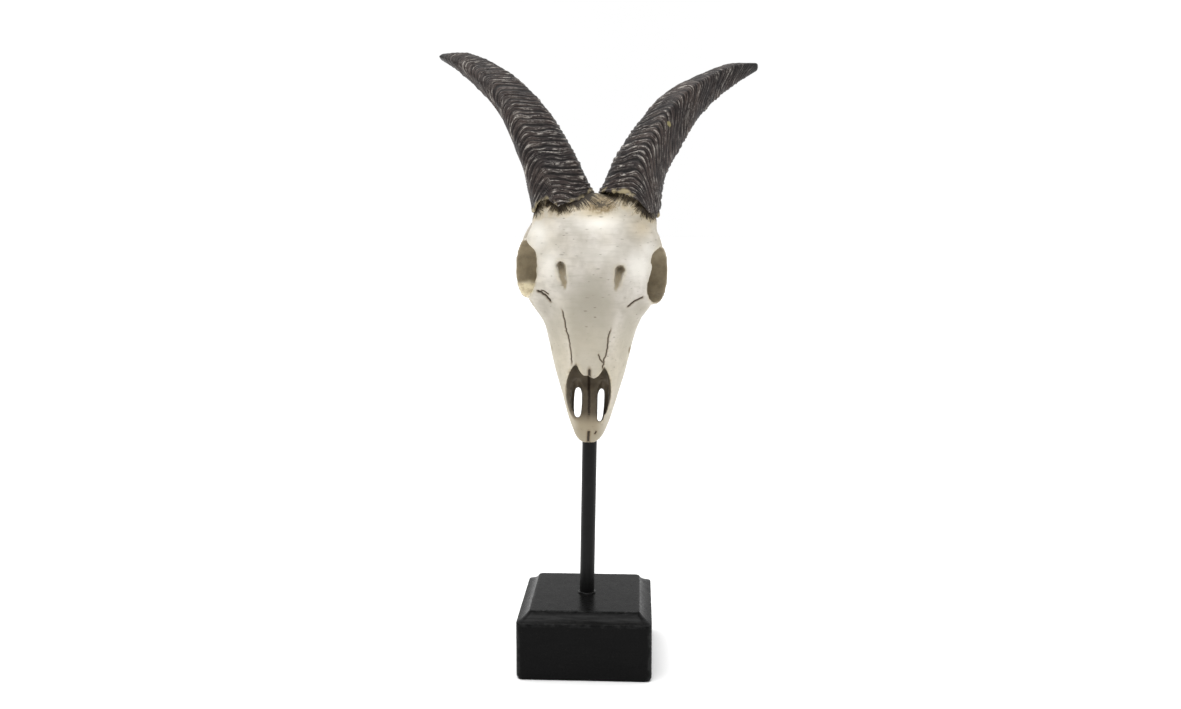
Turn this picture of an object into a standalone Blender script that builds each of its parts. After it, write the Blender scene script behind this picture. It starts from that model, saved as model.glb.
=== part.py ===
# Resin ornament: a horned goat skull on a black rod and a square moulded base.
# The floor is z = 0 under the middle of the base. The face looks along -Y.

import math

import bmesh
import bpy
from mathutils import Matrix, Vector
from mathutils.bvhtree import BVHTree

MM = 0.001
GAP = 0.3 * MM  # air kept between touching pieces

# Base block
BASE_SIDE = 53.3 * MM
BASE_HEIGHT = 26.5 * MM
BASE_TOP_SIDE = 43.6 * MM
BASE_WALL_HEIGHT = 22.6 * MM
BASE_CORNER_RADIUS = 2.4 * MM
BASE_FOOT_ROUND = 1.2 * MM
COVE_DEPTH = 0.35  # 0 for a straight bevel, 1 for a full quarter-round hollow
COVE_STEPS = 5

# Rod
ROD_DIAMETER = 6.0 * MM
ROD_LEAN = math.radians(1.0)
ROD_IN_BASE = 15.0 * MM
ROD_IN_SKULL = 46.0 * MM  # how far the rod runs above the tip of the muzzle
ROD_SIDES = 28

# Place of the skull: its local z runs up the face from the tip of the muzzle,
# its local y runs back from the nasal bridge, and its local x goes to the viewer's right
SKULL_TIP = Vector((1.1, -13.8, 90.8)) * MM
SKULL_ROLL = math.radians(1.8)
SKULL_TURN = math.radians(4.0)
VOXEL = 0.8 * MM
SMOOTH_PASSES = 6
SKULL_FACES = 7400

# Horns: points up the middle of each, in millimetres in the skull's axes, with
# the half width there and the keel's turn from straight ahead towards the outside
HORN_ROUTES = {
    "left": (
        (-13.0, 18.0, 96.5, 12.6, 35),
        (-18.0, 17.5, 109.5, 10.8, 44),
        (-24.5, 18.5, 122.0, 9.4, 40),
        (-32.5, 22.0, 133.5, 7.7, 34),
        (-42.5, 27.0, 142.5, 6.3, 27),
        (-53.5, 33.0, 149.5, 4.3, 20),
        (-64.5, 40.0, 153.0, 1.1, 10),
    ),
    "right": (
        (14.0, 18.0, 96.0, 12.8, 6),
        (18.0, 17.5, 110.0, 10.8, -3),
        (25.0, 19.0, 122.5, 9.8, -10),
        (33.0, 22.5, 133.5, 8.5, -14),
        (43.0, 28.0, 142.0, 6.3, -19),
        (54.5, 34.0, 149.0, 4.4, -24),
        (66.0, 40.0, 153.5, 1.5, -30),
    ),
}
HORN_RINGS = 19
RING_STEPS = 3
HORN_SIDES = 18
RING_HEIGHT = 0.5 * MM
RING_SLOPE = math.tan(math.radians(14))  # rings stand higher at the keel than behind
OUTER_DROP = math.tan(math.radians(24))  # and run down over the outer face
HORN_SHARE = 0.94  # front-to-back size of a horn against its width
# Distance of a horn's surface from its middle, by angle from the keel
HORN_OUTLINE = ((0, 1.16), (22, 0.97), (48, 0.86), (75, 0.90), (100, 0.98), (135, 0.97), (180, 0.90))

# Eye sockets
ORBIT_OUTER_EDGE = 31.0 * MM
ORBIT_DEPTH = 14.8 * MM
ORBIT_HEIGHT = {-1: 68.7 * MM, 1: 67.6 * MM}
ORBIT_TURN = {-1: math.radians(23.5), 1: math.radians(27)}  # of the opening towards the face
ORBIT_HALF_HEIGHT = 11.3 * MM
ORBIT_HALF_DEPTH = 11.0 * MM
ORBIT_SQUARENESS = {-1: 0.94, 1: 0.84}  # 1 for an ellipse, less for squarer ends
ORBIT_PINCH = {-1: 0.0, 1: 4.6 * MM}  # how far the bone covers the upper front of the opening
ORBIT_RIM = 0.8 * MM
ORBIT_HOLLOW_DEPTH = 13.0 * MM

# Nose opening, in millimetres across and up the face: an egg, the two tongues over its
# top as middle, lowest point and bend, and the two slots through its floor
NOSE_CENTRE = (-0.4, 21.0)
NOSE_HALF_SIZES = (8.9, 14.5)
NASAL_TONGUES = ((-1.9, 27.9, 0.38), (1.3, 27.0, 0.29))
NOSE_FLOOR = 3.0  # depth of the floor at the tip of the muzzle
NOSE_FLOOR_SLOPE = 0.22
SLOTS = (
    ((-4.25, 17.2), 1.5, 6.3, 0.0),
    ((4.85, 16.4), 1.45, 6.9, 0.05),
)

# Cheek teeth
TOOTH_COUNT = 6
TOOTH_ROW_START = 31.0 * MM
TOOTH_ROW_END = 58.0 * MM
TOOTH_STAND = 3.4 * MM

# Sections of the face and brow, from the muzzle up, in millimetres:
# height, shift to the right, front, roof half width, roof drop, widest half width,
# its depth, lower half width, back, arch of the palate
HEAD_SECTIONS = (
    (0.0, 0.4, 7.0, 2.0, 0.3, 3.5, 8.6, 2.4, 10.5, 0.2),
    (2.5, 0.5, 6.0, 3.4, 0.4, 5.4, 8.2, 4.2, 11.2, 0.3),
    (7.0, 0.5, 5.2, 4.8, 0.6, 7.4, 8.7, 5.8, 13.0, 0.6),
    (13.0, 0.5, 4.4, 6.2, 0.8, 9.4, 9.7, 7.6, 15.6, 1.2),
    (20.0, 0.5, 3.0, 6.9, 1.0, 11.4, 11.2, 9.4, 18.6, 2.2),
    (28.0, 0.4, 0.4, 7.0, 1.2, 13.8, 12.7, 11.6, 21.8, 3.4),
    (36.0, 0.3, 0.0, 7.8, 1.4, 15.7, 14.7, 13.4, 25.0, 4.2),
    (44.0, 0.3, 0.0, 9.2, 1.6, 17.9, 16.7, 14.8, 28.2, 4.6),
    (50.0, 0.5, -0.3, 11.0, 1.7, 20.0, 16.6, 15.2, 30.6, 4.6),
    (56.0, 0.6, -0.7, 12.8, 1.7, 21.8, 13.6, 14.4, 32.4, 3.8),
    (62.0, 0.1, -1.0, 14.0, 1.8, 22.4, 10.6, 13.0, 33.6, 2.2),
    (69.0, 0.0, -1.1, 14.4, 1.7, 22.8, 9.4, 12.0, 34.8, 0.6),
    (76.0, 0.0, -0.6, 14.6, 1.7, 23.4, 9.4, 11.5, 36.0, 0.0),
    (83.0, 0.0, 1.2, 14.8, 1.6, 24.4, 10.6, 12.5, 37.2, 0.0),
    (90.0, 0.3, 4.4, 14.6, 1.8, 24.4, 13.0, 13.5, 37.6, 0.0),
    (95.5, 0.3, 7.6, 11.0, 1.8, 20.5, 17.4, 12.0, 35.2, 0.0),
    (99.0, 0.3, 12.6, 6.0, 1.4, 12.0, 21.0, 8.0, 31.2, 0.0),
)
SECTION_POINTS = 40


def clear_scene():
    for old in list(bpy.data.objects):
        bpy.data.objects.remove(old)


def finish_material(name, colour, roughness, metallic=0.0):
    made = bpy.data.materials.new(name)
    made.use_nodes = True
    shader = made.node_tree.nodes["Principled BSDF"]
    shader.inputs["Base Color"].default_value = (*colour, 1.0)
    shader.inputs["Roughness"].default_value = roughness
    shader.inputs["Metallic"].default_value = metallic
    made.diffuse_color = (*colour, 1.0)
    return made


def object_from(name, work, material=None, helper=False):
    """Turns a bmesh into an object. A helper is a cutter or a guide."""
    bmesh.ops.recalc_face_normals(work, faces=work.faces)
    mesh = bpy.data.meshes.new(name)
    work.to_mesh(mesh)
    work.free()
    made = bpy.data.objects.new(name, mesh)
    bpy.context.scene.collection.objects.link(made)
    if material:
        mesh.materials.append(material)
    if helper:
        made.hide_render = True
        made.display_type = "WIRE"
    return made


def loft(rings):
    """A closed bmesh through rings of as many points each, with flat ends."""
    work = bmesh.new()
    rows = [[work.verts.new(point) for point in ring] for ring in rings]
    for low, high in zip(rows, rows[1:]):
        for k in range(len(low)):
            work.faces.new((low[k - 1], low[k], high[k], high[k - 1]))
    work.faces.new(rows[0])
    work.faces.new(rows[-1])
    return work


def catmull(points, per_span):
    """Points of a smooth curve through the given ones, ends included."""
    padded = [2 * points[0] - points[1], *points, 2 * points[-1] - points[-2]]
    made = []
    for a, b, c, d in zip(padded, padded[1:], padded[2:], padded[3:]):
        for k in range(per_span):
            t = k / per_span
            made.append(
                0.5 * (2 * b + (c - a) * t + (2 * a - 5 * b + 4 * c - d) * t * t
                       + (3 * b - a - 3 * c + d) * t ** 3)
            )
    return [*made, points[-1]]


def sweep(points, radii, sides=14, per_span=4):
    """A closed tube through the points, with a radius at each of them."""
    along = catmull([Vector((*p, r)) for p, r in zip(points, radii)], per_span)
    rings = []
    for k, here in enumerate(along):
        before, after = along[max(k - 1, 0)], along[min(k + 1, len(along) - 1)]
        heading = (after.xyz - before.xyz).normalized()
        turn = heading.to_track_quat("Z", "Y")
        rings.append([
            here.xyz + turn @ Vector((math.cos(a), math.sin(a), 0.0)) * here.w
            for a in (2 * math.pi * n / sides for n in range(sides))
        ])
    return loft(rings)


def ellipsoid(centre, half_sizes, turn=None, sides=24):
    work = bmesh.new()
    bmesh.ops.create_uvsphere(work, u_segments=sides, v_segments=sides // 2, radius=1.0)
    place = Matrix.Translation(centre) @ (turn.to_matrix().to_4x4() if turn else Matrix())
    bmesh.ops.transform(work, matrix=place @ Matrix.Diagonal((*half_sizes, 1.0)), verts=work.verts)
    return work


def prism(outline, near, far, lean=0.0, far_slope=0.0):
    """A block with its outline in the local x and z, from depth near to depth far.

    It sinks by lean per unit of depth, and its far end gets deeper by far_slope
    per unit of height.
    """
    rise = [far + far_slope * z for _, z in outline]
    return loft([
        [Vector((x, near, z)) for x, z in outline],
        [Vector((x, depth, z - lean * (depth - near))) for (x, z), depth in zip(outline, rise)],
    ])


def head_section(row):
    """One closed ring of the face or brow, from a row of sizes."""
    height, shift, front, roof, drop, wide, wide_depth, low, back, arch = row
    half = [
        Vector((0.0, front)),
        Vector((roof, front + drop)),
        Vector((wide, wide_depth)),
        Vector((low, back)),
        Vector((0.0, back - arch)),
    ]
    corners = [*half, *(Vector((-p.x, p.y)) for p in reversed(half[1:-1]))]
    per_span = SECTION_POINTS // len(corners)
    around = catmull([corners[-1], *corners, corners[0], corners[1]], per_span)
    ring = around[per_span:per_span * (len(corners) + 1)]
    return [Vector((p.x + shift, p.y, height)) for p in ring]


def head_block():
    """The face, brow and brain case as one smooth body."""
    return loft([head_section(row) for row in catmull([Vector(row) * MM for row in HEAD_SECTIONS], 4)])


def signed_power(value, power):
    return math.copysign(abs(value) ** power, value)


def orbit_ring(side, grow, inward, sides=28, pinch=0.0):
    """An ellipse round an eye socket, grown past its edge and set inwards from it.

    The pinch moves the upper part of its front edge back, which leaves more bone there.
    """
    turn = ORBIT_TURN[side]
    centre_x = ORBIT_OUTER_EDGE - ORBIT_HALF_DEPTH * math.sin(turn)
    ring = []
    for n in range(sides):
        a = 2 * math.pi * n / sides
        back = signed_power(math.cos(a), ORBIT_SQUARENESS[side]) * (ORBIT_HALF_DEPTH + grow)
        up = signed_power(math.sin(a), ORBIT_SQUARENESS[side]) * (ORBIT_HALF_HEIGHT + grow)
        back += pinch * max(0.0, -math.cos(a)) * math.exp(-((up - 3.0 * MM) / (4.6 * MM)) ** 2)
        ring.append(Vector((
            side * (centre_x + back * math.sin(turn) - inward * math.cos(turn)),
            ORBIT_DEPTH + back * math.cos(turn) + inward * math.sin(turn),
            ORBIT_HEIGHT[side] + up,
        )))
    return ring


def orbit_wall(side):
    """The solid cup that an eye socket is hollowed from."""
    return loft([
        orbit_ring(side, ORBIT_RIM * 0.6, -0.3 * MM),
        orbit_ring(side, ORBIT_RIM + 0.2 * MM, 0.6 * MM),
        orbit_ring(side, ORBIT_RIM, 2.4 * MM),
        orbit_ring(side, -0.4 * MM, 6.0 * MM),
        orbit_ring(side, -2.6 * MM, 14.0 * MM),
        orbit_ring(side, -4.5 * MM, 20.0 * MM),
    ])


def orbit_hollow(side):
    pinch = ORBIT_PINCH[side]
    return loft([
        orbit_ring(side, 1.2 * MM, -5.0 * MM, pinch=pinch),
        orbit_ring(side, -0.1 * MM, 0.0, pinch=pinch),
        orbit_ring(side, -0.5 * MM, 0.25 * ORBIT_HOLLOW_DEPTH, pinch=pinch),
        orbit_ring(side, -1.6 * MM, 0.55 * ORBIT_HOLLOW_DEPTH, pinch=0.9 * pinch),
        orbit_ring(side, -3.6 * MM, 0.85 * ORBIT_HOLLOW_DEPTH, pinch=0.6 * pinch),
        orbit_ring(side, -6.6 * MM, ORBIT_HOLLOW_DEPTH),
    ])


def cheek_arch(side):
    """The cheek bone, from the jaw under the socket back to the ear."""
    route = (
        (13.5, 20.0, 42.0), (17.6, 22.5, 49.5), (22.6, 24.5, 56.0), (26.8, 26.0, 63.0),
        (28.2, 27.2, 72.0), (26.4, 28.2, 81.0), (21.5, 28.8, 87.5), (15.5, 29.4, 92.0),
    )
    radii = (2.6, 3.0, 2.9, 2.4, 1.9, 2.0, 2.5, 3.2)
    return sweep([Vector((side * x, y, z)) * MM for x, y, z in route], [r * MM for r in radii])


def socket_frame(side):
    """The bone that joins a socket's rim to the face below it and the brow above it."""
    def at(x, y, z):
        return Vector((side * x, y, z)) * MM

    return [
        sweep([at(13.2, 14.5, 44.0), at(15.0, 12.8, 50.0), at(17.9, 11.8, 55.5), at(21.8, 12.8, 61.0)],
              [4.2 * MM, 4.6 * MM, 4.7 * MM, 4.8 * MM]),
        ellipsoid(at(21.2, 9.8, 80.0), Vector((5.2, 5.6, 6.2)) * MM),
    ]


def skull_base_pieces(side):
    """The knobs and spurs on the underside and back of the brain case, on one side."""
    def at(x, y, z):
        return Vector((side * x, y, z)) * MM

    return [
        ellipsoid(at(9.2, 38.5, 84.0), Vector((4.2, 4.4, 5.8)) * MM),
        ellipsoid(at(5.6, 36.5, 96.5), Vector((3.5, 4.6, 3.6)) * MM),
        sweep([at(12.5, 34.0, 92.5), at(13.4, 39.0, 91.2), at(12.8, 44.5, 88.5)],
              [3.6 * MM, 2.6 * MM, 1.3 * MM]),
        sweep([at(5.6, 31.0, 67.0), at(5.8, 37.0, 64.0), at(5.6, 41.0, 60.5)],
              [2.6 * MM, 1.7 * MM, 1.1 * MM]),
    ]


def horn_stations(side, steps):
    """Places up a horn, evenly spaced: middle, axes, half width and keel angle."""
    dense = catmull([Vector(row) for row in HORN_ROUTES["left" if side < 0 else "right"]], 24)
    run = [0.0]
    for before, after in zip(dense, dense[1:]):
        run.append(run[-1] + (Vector(after[:3]) - Vector(before[:3])).length)
    stations = []
    for k in range(steps + 1):
        reach = run[-1] * k / steps
        at = min(max(n for n, value in enumerate(run) if value <= reach), len(dense) - 2)
        t = (reach - run[at]) / (run[at + 1] - run[at])
        here = dense[at].lerp(dense[at + 1], t)
        before, after = dense[max(at - 2, 0)], dense[min(at + 3, len(dense) - 1)]
        heading = (Vector(after[:3]) - Vector(before[:3])).normalized()
        front = (Vector((0.0, -1.0, 0.0)) + heading * heading.y).normalized()
        outward = heading.cross(front) * (1 if heading.cross(front).x * side > 0 else -1)
        stations.append((Vector(here[:3]) * MM, (outward, front, heading), here[3] * MM, math.radians(here[4])))
    return stations


def horn_section(half, keel, sides=HORN_SIDES):
    """Outward and forward distances round a horn: a rounded wedge with a keel."""
    made = []
    for n in range(sides):
        angle = keel + 2 * math.pi * n / sides
        off = abs(math.degrees(math.atan2(math.sin(angle - keel), math.cos(angle - keel))))
        (low, near), (high, far) = next(
            pair for pair in zip(HORN_OUTLINE, HORN_OUTLINE[1:]) if pair[0][0] <= off <= pair[1][0] + 1e-6
        )
        t = (off - low) / (high - low)
        reach = near + (far - near) * t
        made.append((math.sin(angle) * reach, math.cos(angle) * reach))
    left, right = min(p[0] for p in made), max(p[0] for p in made)
    scale = 2 * half / (right - left)
    middle = (left + right) / 2
    return [((x - middle) * scale, y * scale * HORN_SHARE) for x, y in made]


def horn_ring(station, grow=0.0, tilt=0.0, push=0.0):
    """A ring of points round a horn, grown outwards and pushed along the horn.

    A tilt of 1 gives it the full lean of a growth ring, and 0 leaves it level.
    """
    middle, (outward, front, heading), half, keel = station
    return [
        middle + outward * x + front * y
        + heading * (push + tilt * (RING_SLOPE * y - OUTER_DROP * max(0.0, x)))
        for x, y in horn_section(half + grow, keel)
    ]


def horn_stub(side):
    """The bony foot under a horn, a little slimmer than the horn."""
    foot = horn_stations(side, 60)[0]
    return loft([
        horn_ring(foot, grow, push=push)
        for push, grow in ((-26 * MM, -7.5 * MM), (-12 * MM, -2.0 * MM), (-4 * MM, -0.6 * MM), (3 * MM, -0.6 * MM))
    ])


def horn_seat(side):
    """Cutter that leaves the flat face the horn stands on."""
    foot = horn_stations(side, 60)[0]
    return loft([horn_ring(foot, 1.5 * MM, push=push) for push in (-GAP, 14 * MM)])


def horn(side, material):
    """One horn with its growth rings, from the flat foot to the blunt tip."""
    stations = horn_stations(side, HORN_RINGS * RING_STEPS)
    rings = []
    for k, station in enumerate(stations):
        share = k / (len(stations) - 1)
        rise = (0.0, 1.0, 0.5)[k % RING_STEPS] * RING_HEIGHT if 0 < k < len(stations) - 1 else 0.0
        tilt = min(1.0, share / 0.18, (1.0 - share) / 0.12)
        rings.append(horn_ring(station, rise * min(1.0, 1.6 - 1.5 * share), tilt))
    tip = stations[-1]
    rings.append(horn_ring(tip, -0.35 * tip[2], push=0.35 * tip[2]))
    rings.append(horn_ring(tip, -0.75 * tip[2], push=0.5 * tip[2]))
    return object_from("horn_left" if side < 0 else "horn_right", loft(rings), material)


def tooth(side, number):
    """One cheek tooth: a squarish crown standing out of the edge of the palate."""
    share = number / (TOOTH_COUNT - 1)
    step = (TOOTH_ROW_END - TOOTH_ROW_START) / (TOOTH_COUNT - 1)
    height = TOOTH_ROW_START + step * number
    long_half = step / 2 * (1.06 if number else 0.9)
    wide_half = (2.1 + 0.6 * share) * MM
    x = (10.6 + 1.9 * math.sin(math.pi * (0.12 + 0.62 * share))) * MM
    gum = 21.6 * MM + (height - 28.0 * MM) * 0.385
    rings = []
    for depth, grow in ((-4.0 * MM, 0.86), (1.0 * MM, 1.0), (TOOTH_STAND - 0.5 * MM, 0.92), (TOOTH_STAND, 0.7)):
        rings.append([
            Vector((
                side * (x + math.cos(a) * wide_half * grow * (1 - 0.12 * math.cos(4 * a))),
                gum + depth,
                height + math.sin(a) * long_half * grow * (1 - 0.12 * math.cos(4 * a)),
            ))
            for a in (2 * math.pi * (n + 0.5) / 10 for n in range(10))
        ])
    return loft(rings)


def outline(points):
    return [(x * MM, z * MM) for x, z in points]


def tongue_end(x):
    """How low the nasal bones reach at x: two rounded tongues side by side."""
    return min(low + bend * (x - middle) ** 2 for middle, low, bend in NASAL_TONGUES)


def nose_outline(steps=14):
    """The nose opening: an egg whose top is cut off by the tongues of the nasal bones."""
    middle_x, middle_z = NOSE_CENTRE
    half_x, half_z = NOSE_HALF_SIZES
    below = []
    for n in range(4 * steps):
        a = math.pi / 2 - 2 * math.pi * n / (4 * steps)
        x, z = middle_x + half_x * math.cos(a), middle_z + half_z * math.sin(a)
        if z < tongue_end(x) - 0.4:
            below.append((x, z))
    left, right = below[-1][0], below[0][0]
    top = [left + (right - left) * n / steps for n in range(1, steps)]
    return outline([*below, *((x, tongue_end(x)) for x in top)])


def slot_outline(middle, half_x, half_z, lean, sides=16):
    """A tall slot with rounded ends, whose top leans to the right."""
    made = []
    for n in range(sides):
        a = 2 * math.pi * n / sides
        up = signed_power(math.sin(a), 0.8) * half_z
        across = signed_power(math.cos(a), 0.55) * half_x
        made.append((middle[0] + across + lean * up, middle[1] + up))
    return outline(made)


# Holes above the eyes, each with a groove running down from it: x and z of both ends
BROW_HOLES = ((-12.8, 70.4, -10.3, 61.0), (10.1, 69.4, 8.8, 61.2))


def skull_cutters(face_depth):
    """Helpers that open the nose, the sockets and the small holes, in the skull's own axes."""
    works = [
        prism(nose_outline(), -4.0 * MM, NOSE_FLOOR * MM, far_slope=NOSE_FLOOR_SLOPE),
        ellipsoid(Vector((-0.3, 6.6, 29.5)) * MM, Vector((6.4, 3.2, 8.5)) * MM),
        prism(outline(((0.05, -3.0), (0.65, -3.0), (0.55, 5.0), (0.15, 5.0))), 0.0, 14.0 * MM),
        prism(outline(((0.0, 14.6), (0.6, 14.6), (0.7, 29.6), (0.0, 29.6))), -3.0 * MM, 9.6 * MM),
        ellipsoid(Vector((0.0, 35.5, 60.0)) * MM, Vector((4.2, 6.5, 6.0)) * MM),
        ellipsoid(Vector((0.0, 39.0, 99.0)) * MM, Vector((3.0, 6.0, 6.0)) * MM),
    ]
    for slot in SLOTS:
        (x, z), half_x, half_z, _ = slot
        works.append(prism(slot_outline(*slot), 2.0 * MM, 26.0 * MM, lean=0.17))
        works.append(ellipsoid(
            Vector((1.15 * x, 0.22 * z + 4.6, z + 0.5)) * MM, Vector((half_x + 1.0, 3.2, half_z + 1.6)) * MM,
        ))
    for x, z, end_x, end_z in BROW_HOLES:
        groove = []
        for t, sink in ((0.0, 0.6), (0.45, 0.3), (1.0, -0.1)):
            at_x, at_z = (x + (end_x - x) * t) * MM, (z + (end_z - z) * t) * MM
            groove.append(Vector((at_x, face_depth(at_x, at_z) + sink * MM, at_z)))
        works.append(sweep(groove, [1.9 * MM, 1.5 * MM, 0.4 * MM], 10, 3))
        works.append(ellipsoid(groove[0], Vector((2.1, 1.9, 2.1)) * MM, sides=12))
        start = groove[0] + Vector((0.0, 0.6, 0.2)) * MM
        works.append(sweep([start, start + Vector((0.0, 3.6, 2.4)) * MM], [1.1 * MM, 0.7 * MM], 10, 2))
    for side in (-1, 1):
        works.append(orbit_hollow(side))
        works.append(ellipsoid(Vector((side * 16.9, 13.4, 37.0)) * MM, Vector((2.0, 1.2, 1.8)) * MM, sides=12))
    return works


def gather(name, objects, collection_hidden=True):
    """Puts helper objects into one collection, for a Boolean to read."""
    group = bpy.data.collections.new(name)
    bpy.context.scene.collection.children.link(group)
    for one in objects:
        bpy.context.scene.collection.objects.unlink(one)
        group.objects.link(one)
    group.hide_render = collection_hidden
    return group


def boolean(target, group, operation):
    cut = target.modifiers.new(operation.title(), "BOOLEAN")
    cut.operation = operation
    cut.operand_type = "COLLECTION"
    cut.collection = group
    cut.solver = "EXACT"
    cut.use_self = operation == "UNION"
    return cut


def bake_modifiers(target):
    """Makes the object's mesh what its modifiers give."""
    bpy.context.view_layer.update()
    graph = bpy.context.evaluated_depsgraph_get()
    mesh = bpy.data.meshes.new_from_object(target.evaluated_get(graph))
    target.modifiers.clear()
    target.data = mesh


def keep_largest(target):
    """Leaves only the largest closed surface of the object's mesh."""
    work = bmesh.new()
    work.from_mesh(target.data)
    left, shells = set(work.verts), []
    while left:
        shell, todo = set(), [left.pop()]
        while todo:
            vert = todo.pop()
            shell.add(vert)
            for edge in vert.link_edges:
                other = edge.other_vert(vert)
                if other in left:
                    left.discard(other)
                    todo.append(other)
        shells.append(shell)
    shells.sort(key=len)
    bmesh.ops.delete(work, geom=[v for shell in shells[:-1] for v in shell], context="VERTS")
    work.to_mesh(target.data)
    work.free()


def drop_helpers(group):
    for old in list(group.objects):
        bpy.data.objects.remove(old)
    bpy.data.collections.remove(group)


def skull(parent, rod_hole, material):
    """The one-piece skull: blended bones, then its openings, then its teeth."""
    work = bmesh.new()
    bones = [head_block(), ellipsoid(Vector((0.0, 23.5, 83.5)) * MM, Vector((18.5, 15.0, 15.5)) * MM)]
    bones.append(sweep([Vector(p) * MM for p in ((0, 37, 94), (0, 37.5, 82), (0, 35, 70))],
                       [4.0 * MM, 3.8 * MM, 4.5 * MM]))
    bones.append(sweep([Vector(p) * MM for p in ((-16, 30, 91), (-8, 27, 96), (0, 26, 97.5), (8, 27, 96), (16, 30, 91))],
                       [1.4 * MM, 1.8 * MM, 2.0 * MM, 1.8 * MM, 1.4 * MM]))
    for side in (-1, 1):
        bones += [orbit_wall(side), cheek_arch(side), horn_stub(side)]
        bones += socket_frame(side)
        bones += skull_base_pieces(side)
    for bone in bones:
        bmesh.ops.recalc_face_normals(bone, faces=bone.faces)
        piece = bpy.data.meshes.new("bone")
        bone.to_mesh(piece)
        bone.free()
        work.from_mesh(piece)
        bpy.data.meshes.remove(piece)
    mesh = bpy.data.meshes.new("skull")
    work.to_mesh(mesh)
    work.free()
    made = bpy.data.objects.new("skull", mesh)
    bpy.context.scene.collection.objects.link(made)
    made.parent = parent

    blend = made.modifiers.new("Blend", "REMESH")
    blend.mode = "VOXEL"
    blend.voxel_size = VOXEL
    ease = made.modifiers.new("Ease", "SMOOTH")
    ease.factor = 0.5
    ease.iterations = SMOOTH_PASSES
    bake_modifiers(made)
    thin = made.modifiers.new("Thin", "DECIMATE")
    thin.ratio = SKULL_FACES / (2 * len(made.data.polygons))
    bake_modifiers(made)

    tree = BVHTree.FromPolygons(
        [v.co for v in made.data.vertices], [list(p.vertices) for p in made.data.polygons]
    )

    def face_depth(x, z):
        hit = tree.ray_cast(Vector((x, -0.05, z)), Vector((0.0, 1.0, 0.0)))[0]
        return hit.y

    cutters = [object_from("cutter", cut, helper=True) for cut in skull_cutters(face_depth)]
    cutters += [object_from("seat", horn_seat(side), helper=True) for side in (-1, 1)]
    for cutter in cutters:
        cutter.parent = parent
    group = gather("openings", [*cutters, rod_hole])
    boolean(made, group, "DIFFERENCE")
    bake_modifiers(made)
    drop_helpers(group)

    teeth = [
        object_from("tooth", tooth(side, number), helper=True)
        for side in (-1, 1) for number in range(TOOTH_COUNT)
    ]
    for one in teeth:
        one.parent = parent
    group = gather("teeth", teeth)
    boolean(made, group, "UNION")
    bake_modifiers(made)
    drop_helpers(group)
    keep_largest(made)
    made.data.materials.clear()
    made.data.materials.append(material)
    made.data.shade_smooth()
    made.data.set_sharp_from_angle(angle=math.radians(40))
    return made


def rounded_square(half, radius, z, per_corner=5):
    ring = []
    for corner in range(4):
        quarter = math.pi / 2 * corner
        centre = Vector((
            math.copysign(half - radius, math.cos(quarter + math.pi / 4)),
            math.copysign(half - radius, math.sin(quarter + math.pi / 4)),
        ))
        for n in range(per_corner + 1):
            a = quarter + math.pi / 2 * n / per_corner
            ring.append(Vector((centre.x + radius * math.cos(a), centre.y + radius * math.sin(a), z)))
    return ring


def base_block(rod_hole, material):
    """Square block: rounded foot, plain wall, then a hollow moulding up to the flat top."""
    half, top_half = BASE_SIDE / 2, BASE_TOP_SIDE / 2
    rings = []
    for n in range(4):
        a = math.pi / 2 * n / 3
        inset = BASE_FOOT_ROUND * (1 - math.sin(a))
        rings.append(rounded_square(half - inset, BASE_CORNER_RADIUS, BASE_FOOT_ROUND * (1 - math.cos(a))))
    rings.append(rounded_square(half, BASE_CORNER_RADIUS, BASE_WALL_HEIGHT - 0.4 * MM))
    rings.append(rounded_square(half - 0.4 * MM, BASE_CORNER_RADIUS, BASE_WALL_HEIGHT))
    run = half - 0.4 * MM - top_half
    climb = BASE_HEIGHT - 0.3 * MM - BASE_WALL_HEIGHT
    for n in range(1, COVE_STEPS + 1):
        a = math.pi / 2 * n / COVE_STEPS
        out = (1 - COVE_DEPTH) * (1 - n / COVE_STEPS) + COVE_DEPTH * (1 - math.sin(a))
        up = (1 - COVE_DEPTH) * n / COVE_STEPS + COVE_DEPTH * (1 - math.cos(a))
        rings.append(rounded_square(top_half + run * out, BASE_CORNER_RADIUS, BASE_WALL_HEIGHT + climb * up))
    rings.append(rounded_square(top_half - 0.3 * MM, BASE_CORNER_RADIUS, BASE_HEIGHT))
    made = object_from("base_block", loft(rings), material)
    group = gather("base_hole", [rod_hole])
    boolean(made, group, "DIFFERENCE")
    bake_modifiers(made)
    drop_helpers(group)
    made.data.shade_smooth()
    made.data.set_sharp_from_angle(angle=math.radians(28))
    return made


def rod_shape(radius, low, high, sides=ROD_SIDES, bevel=0.0):
    """A round bar on the rod's own axis, between two distances up from the top of the base."""
    axis = Vector((math.sin(ROD_LEAN), 0.0, math.cos(ROD_LEAN)))
    turn = Vector((0, 0, 1)).rotation_difference(axis)
    foot = Vector((0.0, 0.0, BASE_HEIGHT))
    stations = [(low, radius - bevel), (low + bevel, radius), (high - bevel, radius), (high, radius - bevel)]
    if not bevel:
        stations = [(low, radius), (high, radius)]
    return loft([
        [
            foot + turn @ Vector((size * math.cos(a), size * math.sin(a), along))
            for a in (2 * math.pi * n / sides for n in range(sides))
        ]
        for along, size in stations
    ])


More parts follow.
